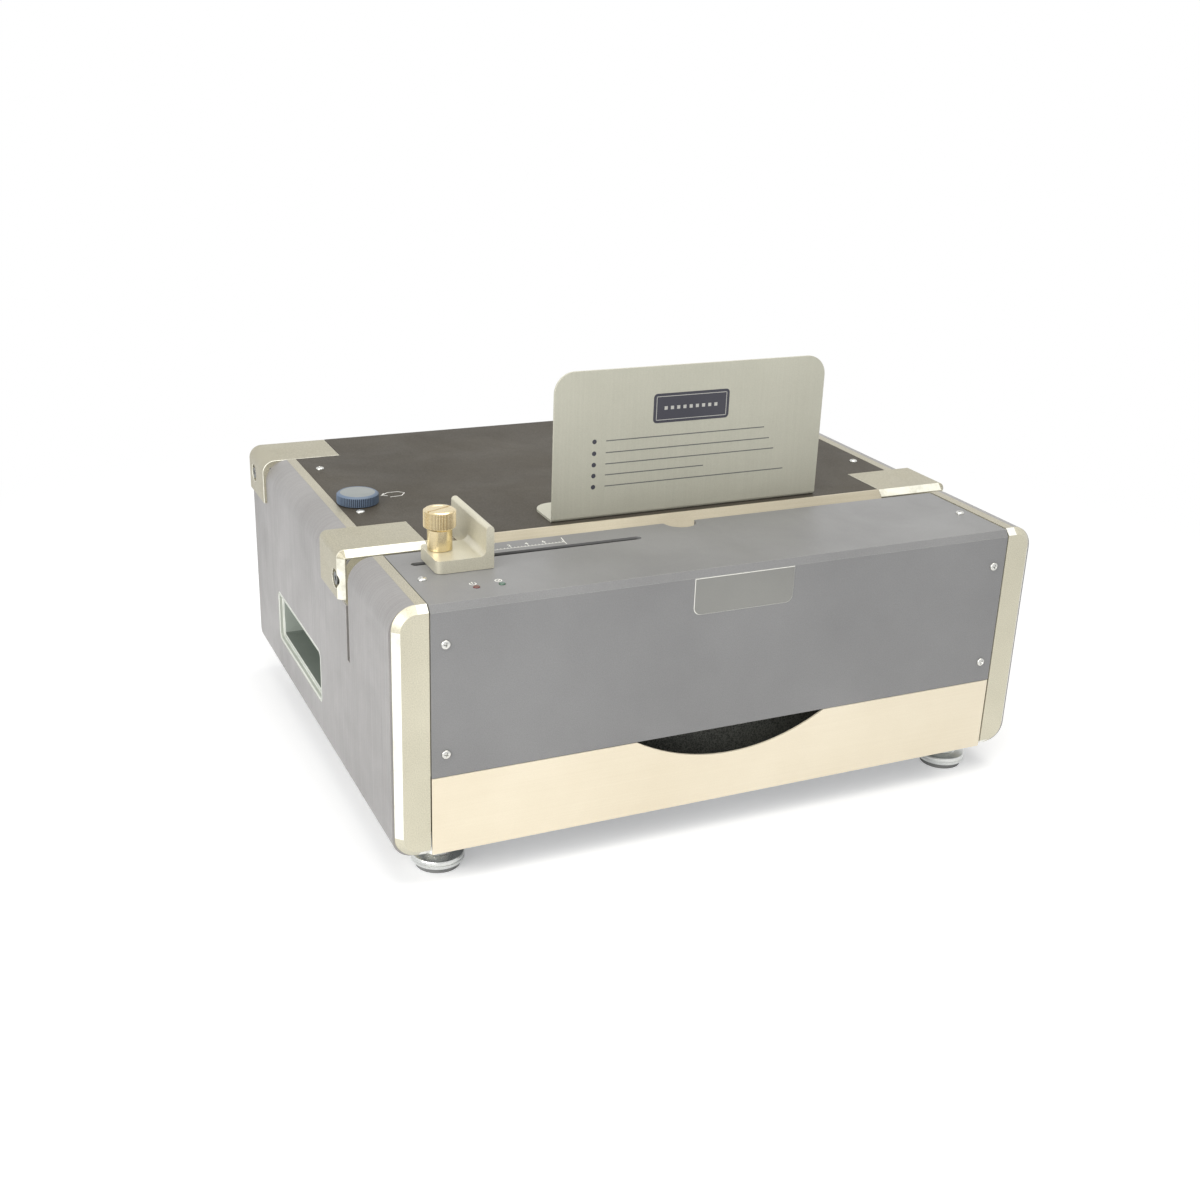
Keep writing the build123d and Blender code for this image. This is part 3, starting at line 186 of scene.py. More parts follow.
def as_piece(name, shape, material, crease=35):
    """A finished bmesh as an object of one material, smooth up to the crease angle, in degrees."""
    mesh = bpy.data.meshes.new(name)
    shape.to_mesh(mesh)
    shape.free()
    mesh.shade_smooth()
    mesh.set_sharp_from_angle(angle=radians(crease))
    mesh.materials.append(material)
    obj = bpy.data.objects.new(name, mesh)
    bpy.context.scene.collection.objects.link(obj)
    return obj


def turned(profile, centre, steps=96, towards=(0, 0, 1)):
    """A closed turned shape: (radius, height) pairs in mm from its lower to its upper middle."""
    shape = bmesh.new()
    turn = Vector((0, 0, 1)).rotation_difference(Vector(towards)).to_matrix()
    rings = []
    for radius, height in profile:
        count = steps if radius else 1
        angles = [2 * pi * i / steps for i in range(count)]
        rings.append([shape.verts.new(turn @ Vector((radius * cos(a), radius * sin(a),
                                                     height)) / 1000 + centre) for a in angles])
    for low, high in zip(rings, rings[1:]):
        for i in range(steps):
            ring = [low[i % len(low)], low[(i + 1) % len(low)], high[(i + 1) % len(high)],
                    high[i % len(high)]]
            ring = list(dict.fromkeys(ring))          # a middle point stands in the ring only once
            if len(ring) > 2:
                shape.faces.new(ring)
    bmesh.ops.recalc_face_normals(shape, faces=shape.faces)
    return shape


def keep(node, material):
    """A CAD node that stays as it is, with its own finish."""
    mesh = nodes[node].data
    mesh.materials.clear()
    mesh.materials.append(material)


zinc = finish("zinc plated steel", (196, 198, 196), (238, 240, 238), 0.85, (0.26, 0.42), grain_mm=1.2,
              along=(40.0, 40.0, 1400.0), line_share=0.3, relief_mm=0.008)
rubber = finish("grey rubber", (118, 119, 118), (148, 149, 148), 0.0, (0.6, 0.85), grain_mm=0.8,
                relief_mm=0.05)
foot_disc = [(0, 4), (18.6, 4), (19.6, 4.5), (20, 5.3), (20, 7.1), (19.6, 7.4), (19.6, 7.8), (20, 8.1),
             (20, 9.7), (19.4, 10.6), (18.2, 11)]
foot_neck = [(11.8, 11.2), (11, 12), (11, 24.4)]
foot_stud = [(4, 24.6), (4, 27.6), (0, 27.6)]
for end, side in (("front", "left"), ("front", "right"), ("rear", "left"), ("rear", "right")):
    node = f"{end}_{side}_foot"
    low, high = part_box(node)
    centre = (low + high) / 2
    shape = turned(foot_disc + foot_neck + foot_stud, Vector((centre.x, centre.y, 0)))
    made = as_piece(f"{node}_turned", shape, zinc, 30)
    dressed(made, "housing", [node])
keep("foot_pads", rubber)

# ---------------------------------------------------------------- floor plate and tray runners
# The floor is a galvanised steel sheet with turned-up sides, spot-welded between the side
# frames.  Two bare strips on it keep the chip tray straight.
galvanised = finish("galvanised sheet", (118, 121, 124), (178, 181, 183), 0.9, (0.35, 0.55), grain_mm=6.0,
                    grain_share=0.6, relief_mm=0.01)
keep("base_plate", galvanised)
keep("tray_runners", galvanised)

# ---------------------------------------------------------------- side frames
# Each side is an aluminium plate, machined all round, blasted and anodised champagne.  Its
# nose and the land on top stay bare beside the wrapped panel, and a milled bevel runs round
# the nose.
champagne = finish("champagne anodised aluminium", (184, 180, 160), (230, 225, 205), 0.5, (0.34, 0.5),
                   grain_mm=0.8, grain_share=0.6, drift_share=0.3, relief_mm=0.02,
                   worn=(246, 246, 240), wear_amount=1.3)
# The land's coarser blasted grain is its own; its darker tone is painted shade, a darker copy of the
# champagne finish for the upward faces.
land_painted_shade = finish("blasted land with painted shade", (150, 145, 128), (204, 199, 182), 0.5, (0.38, 0.52), grain_mm=0.9,
                    grain_share=0.8, drift_share=0.2, relief_mm=0.02, worn=(232, 229, 214), wear_amount=1.0)


weld_distance = 3e-6                # metres
flat_angle = radians(0.7)           # below it two faces are one
corner_cuts = 8                     # facets of a rounded corner
least_bevel = 2e-5                  # area in square metres of a milled bevel, against an eased edge


def eased(node, body, material, ease=0.35, segments=2, crease=40, gap=0.0, round_corner=0.0,
          bright=False):
    """A copy of a CAD node, standing in for it, whose sharp edges are eased by a small bevel.

    gap draws both its ends in for a shadow line and round_corner rounds its outermost top edge, all in mm;
    bright leaves the milled bevels as freshly cut metal."""
    shape = bmesh.new()
    shape.from_mesh(nodes[node].data)
    bmesh.ops.remove_doubles(shape, verts=shape.verts, dist=weld_distance)
    bmesh.ops.dissolve_limit(shape, angle_limit=flat_angle, verts=shape.verts, edges=shape.edges)
    end = max(abs(v.co.x) for v in shape.verts)
    top = max(v.co.z for v in shape.verts)
    if gap:
        for v in shape.verts:
            if abs(v.co.x) > end - 1e-5:
                v.co.x -= gap / 1000 * (1 if v.co.x > 0 else -1)
    if round_corner:
        side = 1 if sum(v.co.x for v in shape.verts) > 0 else -1
        radius = round_corner / 1000
        middle = Vector((side * (end - radius), 0, top - radius))
        for step in range(1, corner_cuts + 1):
            turn = radians(90 / (corner_cuts + 1) * step)
            away = Vector((side * cos(turn), 0, sin(turn)))
            cut = bmesh.ops.bisect_plane(shape, geom=shape.verts[:] + shape.edges[:] + shape.faces[:],
                                         plane_co=middle + away * radius, plane_no=away, clear_outer=True)
            rim = [e for e in cut["geom_cut"] if isinstance(e, bmesh.types.BMEdge)]
            if rim:
                bmesh.ops.holes_fill(shape, edges=rim)
    mesh = bpy.data.meshes.new(node)
    shape.to_mesh(mesh)
    shape.free()
    for left_over in ("custom_normal", "sharp_edge", "sharp_face"):
        if left_over in mesh.attributes:
            mesh.attributes.remove(mesh.attributes[left_over])
    mesh.shade_smooth()
    mesh.set_sharp_from_angle(angle=radians(crease))
    mesh.materials.clear()
    mesh.materials.append(material)
    mesh.materials.append(material)
    for face in mesh.polygons:
        face.material_index = 0
    obj = bpy.data.objects.new(f"{node}_eased", mesh)
    bpy.context.scene.collection.objects.link(obj)
    bevel = obj.modifiers.new("eased edges", "BEVEL")
    bevel.width = ease / 1000
    bevel.segments = segments
    bevel.limit_method = "ANGLE"
    bevel.angle_limit = radians(crease)
    bevel.material = 1
    bevel.use_clamp_overlap = True
    bevel.harden_normals = True
    plain = bpy.data.meshes.new_from_object(obj.evaluated_get(bpy.context.evaluated_depsgraph_get()))
    obj.modifiers.clear()
    obj.data = plain
    plain.name = f"{node}_eased"
    rim = plain.attributes.new("edge", "FLOAT", "CORNER")
    for face in plain.polygons:
        sloped = max(map(abs, face.normal)) < 0.93 and abs(face.normal.y) > 0.25
        milled = bright and face.area > least_bevel and sloped
        for corner in face.loop_indices:
            rim.data[corner].value = float(face.material_index or milled)
        face.material_index = 0
    plain.materials.pop()
    return dressed(obj, body, [node])


nose_depth = 0.012                  # metres of the top, at the front, that belong to the nose
for side in ("left", "right"):
    side_plate = eased(f"{side}_side_frame", "housing", champagne, 0.4, bright=True)
    side_plate.data.materials.append(land_painted_shade)
    # Upward faces behind the nose take the darker land finish: painted shade on the tops.
    for face in side_plate.data.polygons:
        if face.normal.z > 0.9 and face.center.y > front_y + nose_depth:
            face.material_index = 1

# ---------------------------------------------------------------- punch unit
# A hardened die plate in front of the throat and a guide plate behind it, both ground.  The
# flat pins stand in a holder that the ram bar pushes along two round posts.
ground_steel = finish("ground steel", (120, 122, 125), (186, 188, 190), 1.0, (0.22, 0.4), grain_mm=0.9,
                      along=(30.0, 900.0, 900.0), line_share=0.4, relief_mm=0.006)
for node in ("die_plate", "punch_guide", "ram_guide_posts", "punch_pins", "pin_holder", "ram_bar",
             "ram_yokes"):
    keep(node, ground_steel)

# ---------------------------------------------------------------- drive
# A geared motor turns the cross shaft through a pinion and a large spur gear, and two
# eccentric discs in the yokes move the ram.  The bushes are bronze, the gearbox is cast.
bronze = finish("sintered bronze", (128, 96, 58), (184, 146, 92), 0.9, (0.35, 0.55), grain_mm=0.5,
                relief_mm=0.02)
cast_grey = finish("cast alloy", (120, 122, 124), (164, 166, 168), 0.75, (0.45, 0.65), grain_mm=1.1,
                   grain_share=0.6, relief_mm=0.06)
motor_black = finish("baked black enamel", (22, 23, 25), (44, 45, 48), 0.0, (0.28, 0.45), grain_mm=1.6,
                     relief_mm=0.02)
for node in ("eccentric_shaft", "eccentric_discs", "drive_gear", "motor_pinion"):
    keep(node, ground_steel)
for node in ("left_shaft_bush", "right_shaft_bush"):
    keep(node, bronze)
keep("gearbox", cast_grey)
keep("motor", motor_black)
keep("motor_stand", galvanised)

# ---------------------------------------------------------------- control board
# A printed board on four posts, with the transformer, the motor's relay and two capacitors.
board_green = finish("solder resist", (18, 62, 40), (34, 96, 62), 0.0, (0.25, 0.4), grain_mm=2.5,
                     relief_mm=0.02, coat=0.3)
keep("control_board", board_green)

# ---------------------------------------------------------------- chip tray
# A black powder-coated bin on the floor plate, with a cream lacquered front plate whose arched
# cut-out lets the fingers in behind it.
speckled_black = finish("black textured powder coat", (34, 35, 33), (144, 146, 138), 0.0, (0.5, 0.75),
                        grain_mm=1.2, grain_share=0.75, drift_share=0.15, relief_mm=0.12,
                        worn=(120, 120, 116))
cream = finish("cream lacquered aluminium", (233, 221, 196), (247, 237, 215), 0.15, (0.34, 0.5), grain_mm=0.6,
               grain_share=0.3, drift_share=0.5, along=(6.0, 400.0, 900.0), line_share=0.2, relief_mm=0.006,
               worn=(252, 247, 232), wear_amount=0.5)
eased("chip_bin", "tray", speckled_black, 0.4)
eased("tray_front", "tray", cream, 0.3, gap=0.7)

# ---------------------------------------------------------------- wrapped side panels
# Thin aluminium sheet, rolled round the frame's top and bottom edges, with fine upright brush
# lines under a clear grey anodising.
side_grey = finish("brushed grey anodised sheet", (130, 128, 127), (174, 172, 172), 0.3, (0.36, 0.5),
                   grain_mm=0.7, grain_share=0.25, drift_share=0.3, along=(4.0, 700.0, 4.0), line_share=0.45,
                   relief_mm=0.008, worn=(206, 204, 198), wear_amount=0.5)
for side in ("left", "right"):
    eased(f"{side}_side_panel", "housing", side_grey, 0.3)

# ---------------------------------------------------------------- handle cups
# Moulded cups let into the sides: a stepped pale rim round a deep finger pocket.
cup_grey = finish("moulded cup plastic", (178, 183, 174), (208, 212, 202), 0.0, (0.38, 0.55), grain_mm=0.5,
                  relief_mm=0.02, worn=(240, 242, 236), wear_amount=0.9)
# The two darker greys below are painted shade inside the finger pocket, not colours of the moulded plastic.
cup_wall_painted_shade = finish("cup wall in painted shade", (160, 168, 160), (184, 191, 183), 0.0, (0.4, 0.58), grain_mm=0.5,
                  relief_mm=0.02)
cup_floor_painted_shade = finish("cup floor in painted shade", (108, 116, 109), (136, 143, 135), 0.0, (0.45, 0.6), grain_mm=0.5,
                   relief_mm=0.02)
rim_depth = 0.006                   # metres; the pocket lies deeper than the stepped rim
for side in ("left", "right"):
    cup = eased(f"{side}_handle_cup", "housing", cup_grey, 0.7, 3)
    cup.data.materials.append(cup_wall_painted_shade)
    cup.data.materials.append(cup_floor_painted_shade)
    # Faces deeper than the rim take a darker grey, and the pocket's floor and back wall a darker one still:
    # painted shade of the recess.
    face_x = max(abs(v.co.x) for v in cup.data.vertices)
    for face in cup.data.polygons:
        if abs(face.center.x) < face_x - rim_depth:
            face.material_index = 2 if face.normal.z > 0.3 or abs(face.normal.x) > 0.8 else 1

# ---------------------------------------------------------------- throat rail and paper stop
# A drawn aluminium rail makes the sloped lip behind the slot, anodised like the frames.  The
# bar that the paper stands on is ground steel.
rail_metal = finish("champagne anodised rail", (158, 150, 132), (186, 178, 159), 0.4, (0.38, 0.5),
                    grain_mm=0.6, along=(5.0, 800.0, 800.0), line_share=0.3, relief_mm=0.006,
                    worn=(226, 218, 198))
eased("throat_rail", "housing", rail_metal, 0.25)
keep("depth_stop", ground_steel)

# ---------------------------------------------------------------- front cover
# One sheet folded over the front and the top with a bevelled fold between them, sprayed satin
# grey.  A bare rounded tab hangs from the fold, and white marks are printed on the top.
front_grey = finish("satin grey paint", (127, 127, 128), (151, 151, 152), 0.12, (0.4, 0.54), grain_mm=0.7,
                    grain_share=0.5, drift_share=0.4, relief_mm=0.012, worn=(192, 193, 186), wear_amount=0.9)
eased("front_cover", "housing", front_grey, 0.3, crease=20, gap=0.7)
tab_grey = finish("satin grey tab", (136, 136, 133), (156, 156, 152), 0.12, (0.36, 0.48), grain_mm=0.5,
                  relief_mm=0.008, worn=(226, 226, 220), wear_amount=1.6)


def sheet_outline(x, z, radius, round_top=True, steps=10):
    """Outline of an upright plate in (x, z), with its lower or all its corners rounded."""
    corners = [(x[0], z[0], pi), (x[1], z[0], 1.5 * pi), (x[1], z[1], 0), (x[0], z[1], 0.5 * pi)]
    points = []
    for i, (cx, cz, start) in enumerate(corners):
        if i > 1 and not round_top:
            points.append((cx, cz))
            continue
        mid_x = cx + (radius if cx == x[0] else -radius)
        mid_z = cz + (radius if cz == z[0] else -radius)
        angles = [start + pi / 2 * k / steps for k in range(steps + 1)]
        points += [(mid_x + radius * cos(a), mid_z + radius * sin(a)) for a in angles]
    return points


def plate(points, y, thick, chamfer=0.12):
    """An upright plate from an outline in (x, z), mm, whose front edge is bevelled; y is its front face."""
    shape = bmesh.new()
    mid_x = sum(p[0] for p in points) / len(points)
    mid_z = sum(p[1] for p in points) / len(points)

    def ring(depth, inset):
        made = []
        for px, pz in points:
            away = Vector((px - mid_x, pz - mid_z))
            px -= inset * (1 if away.x > 0 else -1)
            pz -= inset * (1 if away.y > 0 else -1)
            made.append(shape.verts.new(mm(px, depth, pz)))
        return made

    rings = [ring(y, chamfer), ring(y + chamfer, 0), ring(y + thick, 0)]
    shape.faces.new(rings[0])
    shape.faces.new(rings[-1])
    for near, far in zip(rings, rings[1:]):
        for i in range(len(points)):
            j = (i + 1) % len(points)
            shape.faces.new([near[i], near[j], far[j], far[i]])
    bmesh.ops.recalc_face_normals(shape, faces=shape.faces)
    return shape


tab_x, tab_z, tab_corner = (-41, 43.8), (184.4, 213.4), 6.0
tab_face, tab_thick, tab_bevel = -0.4, 0.45, 0.4          # its face stands proud of the cover
tab_shape = plate(sheet_outline(tab_x, tab_z, tab_corner, False), tab_face, tab_thick, tab_bevel)
tab = as_piece("front_tab", tab_shape, tab_grey, 25)
rim = tab.data.attributes.new("edge", "FLOAT", "CORNER")
for face in tab.data.polygons:
    for corner in face.loop_indices:
        rim.data[corner].value = float(abs(face.normal.y) < 0.95)
dressed(tab, "housing")

# The printed marks are a thin ink, a few hundredths of a millimetre proud of the cover.
print_white = finish("white screen print", (232, 232, 226), (252, 252, 248), 0.0, (0.5, 0.65), grain_mm=0.4,
                     grain_share=0.6, relief_mm=0.01)
cover_top = 219.0
print_proud = 0.06


def ribbon(points, width, height, closed=False):
    """A flat printed line of one width along points in (x, y), mm, lying at a height."""
    shape = bmesh.new()
    edges = []
    count = len(points)
    for i, (px, py) in enumerate(points):
        before = points[i - 1] if i or closed else points[i]
        after = points[(i + 1) % count] if i < count - 1 or closed else points[i]
        along = Vector((after[0] - before[0], after[1] - before[1])).normalized()
        side = Vector((-along.y, along.x)) * width / 2
        edges.append((shape.verts.new(mm(px + side.x, py + side.y, height)),
                      shape.verts.new(mm(px - side.x, py - side.y, height))))
    pairs = list(zip(edges, edges[1:])) + ([(edges[-1], edges[0])] if closed else [])
    for a, b in pairs:
        shape.faces.new([a[0], a[1], b[1], b[0]])
    for face in shape.faces:
        face.normal_update()
        if face.normal.z < 0:
            face.normal_flip()
    return shape


def arc(cx, cy, rx, ry, start, end, steps=24):
    """Points along part of an oval."""
    return [(cx + rx * cos(start + (end - start) * i / steps),
             cy + ry * sin(start + (end - start) * i / steps)) for i in range(steps + 1)]


level = cover_top + print_proud
stroke_width = 0.75
scale_y = 91.5
for name, points, closed in (
        ("power_ring", arc(-202.0, 31.0, 2.3, 2.3, pi * 0.72, pi * 2.28), False),
        ("power_bar", [(-202.0, 31.2), (-202.0, 34.4)], False),
        ("ready_ring", arc(-182.8, 31.2, 2.4, 2.4, 0, 2 * pi)[:-1], True),
        ("ready_mark", [(-184.0, 31.4), (-183.1, 30.2), (-181.4, 32.6)], False),
        ("scale_rule", [(-165.0, scale_y), (-106.0, scale_y)], False),
        ("scale_end", [(-106.0, 87.0), (-106.0, scale_y), (-104.6, 101.5)], False)):
    dressed(as_piece(name, ribbon(points, stroke_width, level, closed), print_white), "housing")

# Ticks of the margin scale: every fifth one is longer.
ticks, given, out = group_tree("scale ticks", "GeometryNodeTree",
                               [("Geometry", "NodeSocketGeometry", None), ("Count", "NodeSocketInt", 21),
                                ("Pitch", "NodeSocketFloat", 0.003), ("Short", "NodeSocketFloat", 0.0018),
                                ("Long", "NodeSocketFloat", 0.0034), ("Width", "NodeSocketFloat", 0.0006),
                                ("Ink", "NodeSocketMaterial", None)], [("Geometry", "NodeSocketGeometry")])
step = put(ticks, "ShaderNodeCombineXYZ", {"X": given["Pitch"]})
row = put(ticks, "GeometryNodeMeshLine", {"Count": given["Count"], "Offset": step.outputs["Vector"]})
index = put(ticks, "GeometryNodeInputIndex").outputs["Index"]
fifth = put(ticks, "FunctionNodeIntegerMath", {0: index, 1: 5}, operation="MODULO")
is_long = put(ticks, "FunctionNodeCompare", data_type="INT", operation="EQUAL")
ticks.links.new(fifth.outputs["Value"], is_long.inputs[2])
is_long.inputs[3].default_value = 0
length = put(ticks, "GeometryNodeSwitch", {"Switch": is_long.outputs["Result"], "False": given["Short"],
                                           "True": given["Long"]}, input_type="FLOAT")
size = put(ticks, "ShaderNodeCombineXYZ", {"X": given["Width"], "Y": length.outputs["Output"], "Z": 1.0})
mark = put(ticks, "GeometryNodeMeshGrid", {"Size X": 1.0, "Size Y": 1.0, "Vertices X": 2, "Vertices Y": 2})
shift = put(ticks, "ShaderNodeVectorMath", {0: size.outputs["Vector"], 1: (0.0, 0.5, 0.0)},
            operation="MULTIPLY")
row = put(ticks, "GeometryNodeSetPosition", {"Geometry": row.outputs["Mesh"],
                                             "Offset": shift.outputs["Vector"]})
row = put(ticks, "GeometryNodeInstanceOnPoints", {"Points": row.outputs["Geometry"],
                                                  "Instance": mark.outputs["Mesh"],
                                                  "Scale": size.outputs["Vector"]})
row = put(ticks, "GeometryNodeRealizeInstances", {"Geometry": row.outputs["Instances"]})
row = put(ticks, "GeometryNodeSetMaterial", {"Geometry": row.outputs["Geometry"], "Material": given["Ink"]})
ticks.links.new(row.outputs["Geometry"], out["Geometry"])


def grown(name, tree, values, start=None):
    """The plain mesh that a geometry tree makes from named values, and from a start mesh if it needs one."""
    obj = bpy.data.objects.new(name, start or bpy.data.meshes.new(name))
    bpy.context.scene.collection.objects.link(obj)
    modifier = obj.modifiers.new(name, "NODES")
    modifier.node_group = tree
    for socket in tree.interface.items_tree:
        if getattr(socket, "in_out", "") == "INPUT" and socket.name in values:
            modifier[socket.identifier] = values[socket.name]
    plain = bpy.data.meshes.new_from_object(obj.evaluated_get(bpy.context.evaluated_depsgraph_get()))
    obj.modifiers.clear()
    obj.data = plain
    return obj


scale_left, tick_pitch, ticks_per_number = -163.0, 2.8, 5
scale = grown("scale_ticks", ticks, {"Ink": print_white, "Pitch": tick_pitch / 1000, "Count": 21})
scale.data.transform(Matrix.Translation(mm(scale_left, scale_y, level)))
dressed(scale, "housing")


def number(name, text, size_mm, at, material, turn=None):
    """A plain printed number, as a flat mesh set on a face."""
    curve = bpy.data.curves.new(name, "FONT")
    curve.body = text
    curve.size = size_mm / 1000
    curve.align_x = "CENTER"
    curve.offset = 0.0001
    text_obj = bpy.data.objects.new(name + "_text", curve)
    bpy.context.scene.collection.objects.link(text_obj)
    mesh = bpy.data.meshes.new_from_object(text_obj.evaluated_get(bpy.context.evaluated_depsgraph_get()))
    bpy.data.objects.remove(text_obj)
    mesh.transform(Matrix.Translation(at) @ (turn or Matrix.Identity(4)))
    mesh.materials.clear()
    mesh.materials.append(material)
    obj = bpy.data.objects.new(name, mesh)
    bpy.context.scene.collection.objects.link(obj)
    return dressed(obj, "housing")


number_height, number_y = 5.4, 95.6
for i in range(4):
    place = mm(scale_left + ticks_per_number * tick_pitch * i, number_y, level)
    number(f"scale_number_{i}", str(2 * i), number_height, place, print_white)

# ---------------------------------------------------------------- lamps
# Two small round lenses in the cover, red for the mains and green for ready.
red_lens = finish("red lens", (58, 8, 6), (120, 22, 18), 0.0, (0.08, 0.16), grain_mm=3.0, relief_mm=0.004,
                  specular=0.7, coat=0.6)
green_lens = finish("green lens", (6, 48, 30), (20, 96, 64), 0.0, (0.08, 0.16), grain_mm=3.0, relief_mm=0.004,
                    specular=0.7, coat=0.6)
eased("power_lamp", "housing", red_lens, 0.15)
eased("ready_lamp", "housing", green_lens, 0.15)

# ---------------------------------------------------------------- pan-head screws
# Cross-recess pan heads, nickel plated, that hold the covers, the rear panel and the paper
# rest.  Each is driven home to its own angle.
nickel = finish("nickel plated screw", (190, 190, 186), (236, 236, 232), 1.0, (0.18, 0.34), grain_mm=0.8,
                relief_mm=0.004, worn=(250, 250, 248))
head_profile = [(0, 0), (3.5, 0), (3.5, 0.55), (3.36, 1.05), (2.95, 1.5), (2.2, 1.82), (1.1, 1.96), (0, 2.0)]


recess_ends = ((0.6, 0.8, 0.36), (2.4, 2.35, 0.62))       # height, reach and width of its floor and its mouth


def screw_head():
    """One cross-recess pan head with a stub of its shank, standing on its seat at the origin."""
    profile = [(0, -1.5), (2.0, -1.5), (2.0, 0.0)] + head_profile[1:]
    head = as_piece("pan_head", turned(profile, Vector((0, 0, 0)), 40), nickel, 30)
    recess = bmesh.new()
    for turn in (0, pi / 2):
        rows = []
        for height, reach, wide in recess_ends:
            corners = ((-reach, -wide / 2), (reach, -wide / 2), (reach, wide / 2), (-reach, wide / 2))
            rows.append([recess.verts.new(Matrix.Rotation(turn, 3, "Z") @ Vector((x, y, height)) / 1000)
                         for x, y in corners])
        recess.faces.new(rows[0][::-1])
        recess.faces.new(rows[1])
        for i in range(4):
            j = (i + 1) % 4
            recess.faces.new([rows[0][i], rows[0][j], rows[1][j], rows[1][i]])
    bmesh.ops.recalc_face_normals(recess, faces=recess.faces)
    cutter = as_piece("recess", recess, nickel)
    cut = head.modifiers.new("cross recess", "BOOLEAN")
    cut.object, cut.solver, cut.use_self = cutter, "EXACT", True
    plain = bpy.data.meshes.new_from_object(head.evaluated_get(bpy.context.evaluated_depsgraph_get()))
    head.modifiers.clear()
    head.data = plain
    bpy.data.objects.remove(cutter)
    return head


screws, given, out = group_tree("driven screws", "GeometryNodeTree",
                                [("Geometry", "NodeSocketGeometry", None),
                                 ("Screw", "NodeSocketObject", None), ("Seed", "NodeSocketInt", 4),
                                 ("Metal", "NodeSocketMaterial", None)], [("Geometry", "NodeSocketGeometry")])
facing = put(screws, "GeometryNodeInputNamedAttribute", {"Name": "facing"}, data_type="FLOAT_VECTOR")
upright = put(screws, "FunctionNodeAlignRotationToVector", {"Vector": facing.outputs["Attribute"]}, axis="Z")
chance = put(screws, "FunctionNodeRandomValue", {"Seed": given["Seed"]}, data_type="FLOAT")
spin = put(screws, "ShaderNodeMath", {0: chance.outputs[1], 1: pi / 2}, operation="MULTIPLY")
spin = put(screws, "ShaderNodeCombineXYZ", {"Z": spin.outputs["Value"]})
spin = put(screws, "FunctionNodeEulerToRotation", {"Euler": spin.outputs["Vector"]})
turned_home = put(screws, "FunctionNodeRotateRotation", {"Rotation": upright.outputs["Rotation"],
                                                         "Rotate By": spin.outputs["Rotation"]},
                  rotation_space="LOCAL")
source = put(screws, "GeometryNodeObjectInfo", {"Object": given["Screw"]})
row = put(screws, "GeometryNodeInstanceOnPoints", {"Points": given["Geometry"],
                                                   "Instance": source.outputs["Geometry"],
                                                   "Rotation": turned_home.outputs["Rotation"]})
row = put(screws, "GeometryNodeRealizeInstances", {"Geometry": row.outputs["Instances"]})
row = put(screws, "GeometryNodeSetMaterial", {"Geometry": row.outputs["Geometry"],
                                              "Material": given["Metal"]})
screws.links.new(row.outputs["Geometry"], out["Geometry"])

one_screw = screw_head()
forward, upward, backward = (0, -1, 0), (0, 0, 1), (0, 1, 0)      # the ways that the heads face
both = (-1, 1)
feet_top, panel_top, rear_face = 25, 219.5, 424.0
rest_face, rest_foot, rest_foot_top = 134.0, 44, 221.5
cover_screw_x, panel_screw_x, back_screw_x = 233.0, 232.4, 235.0      # from the middle
front_places = [(s * cover_screw_x, 0.0, feet_top + h, forward) for h in (80.4, 164.7) for s in both]
front_places += [(s * cover_screw_x, 50.0, cover_top, upward) for s in both]
panel_places = [(s * panel_screw_x, y, panel_top, upward) for y in (208.1, 333.1) for s in both]
back_places = [(s * back_screw_x, rear_face, feet_top + h, backward) for h in (30, 105, 180) for s in both]
rest_places = [(x, rest_face + rest_foot * 0.6, rest_foot_top, upward) for x in (-68.8, 22.35, 113.5)]
for node, seed, points in (("front_cover_screws", 3, front_places), ("top_panel_screws", 8, panel_places),
                           ("back_cover_screws", 5, back_places), ("backrest_screws", 9, rest_places)):
    seats = bpy.data.meshes.new(node)
    seats.from_pydata([mm(x, y, z) for x, y, z, _ in points], [], [])
    away = seats.attributes.new("facing", "FLOAT_VECTOR", "POINT")
    for i, point in enumerate(points):
        away.data[i].vector = point[3]
    row_of_screws = grown(f"{node}_driven", screws, {"Screw": one_screw, "Seed": seed, "Metal": nickel},
                          seats)
    row_of_screws.data.shade_smooth()
    row_of_screws.data.set_sharp_from_angle(angle=radians(30))
    dressed(row_of_screws, "housing", [node])
bpy.data.objects.remove(one_screw)

# ---------------------------------------------------------------- rear top panel
# Flat steel sheet under a dark brown-grey powder coat with a fine orange-peel texture.  A white
# arrow printed beside the knob shows that it turns.
dark_coat = finish("dark textured powder coat", (54, 50, 44), (92, 87, 78), 0.0, (0.5, 0.62), grain_mm=0.8,
                   grain_share=0.7, drift_share=0.25, relief_mm=0.03, worn=(140, 134, 122), wear_amount=0.4,
                   specular=0.2)
eased("rear_top_panel", "housing", dark_coat, 0.25)
level = panel_top + print_proud
arrow_bow = [(-203.8, 244.9), (-197.4, 250.6), (-188.4, 250.8), (-184.0, 246.0), (-188.6, 239.4),
             (-198.4, 238.8)]
arrow_tip = [(-200.8, 249.4), (-204.4, 244.6), (-199.6, 242.6)]
for name, points, stroke_width in (("turn_arrow", arrow_bow, 0.9), ("turn_arrow_tip", arrow_tip, 1.1)):
    dressed(as_piece(name, ribbon(points, stroke_width, level), print_white), "housing")

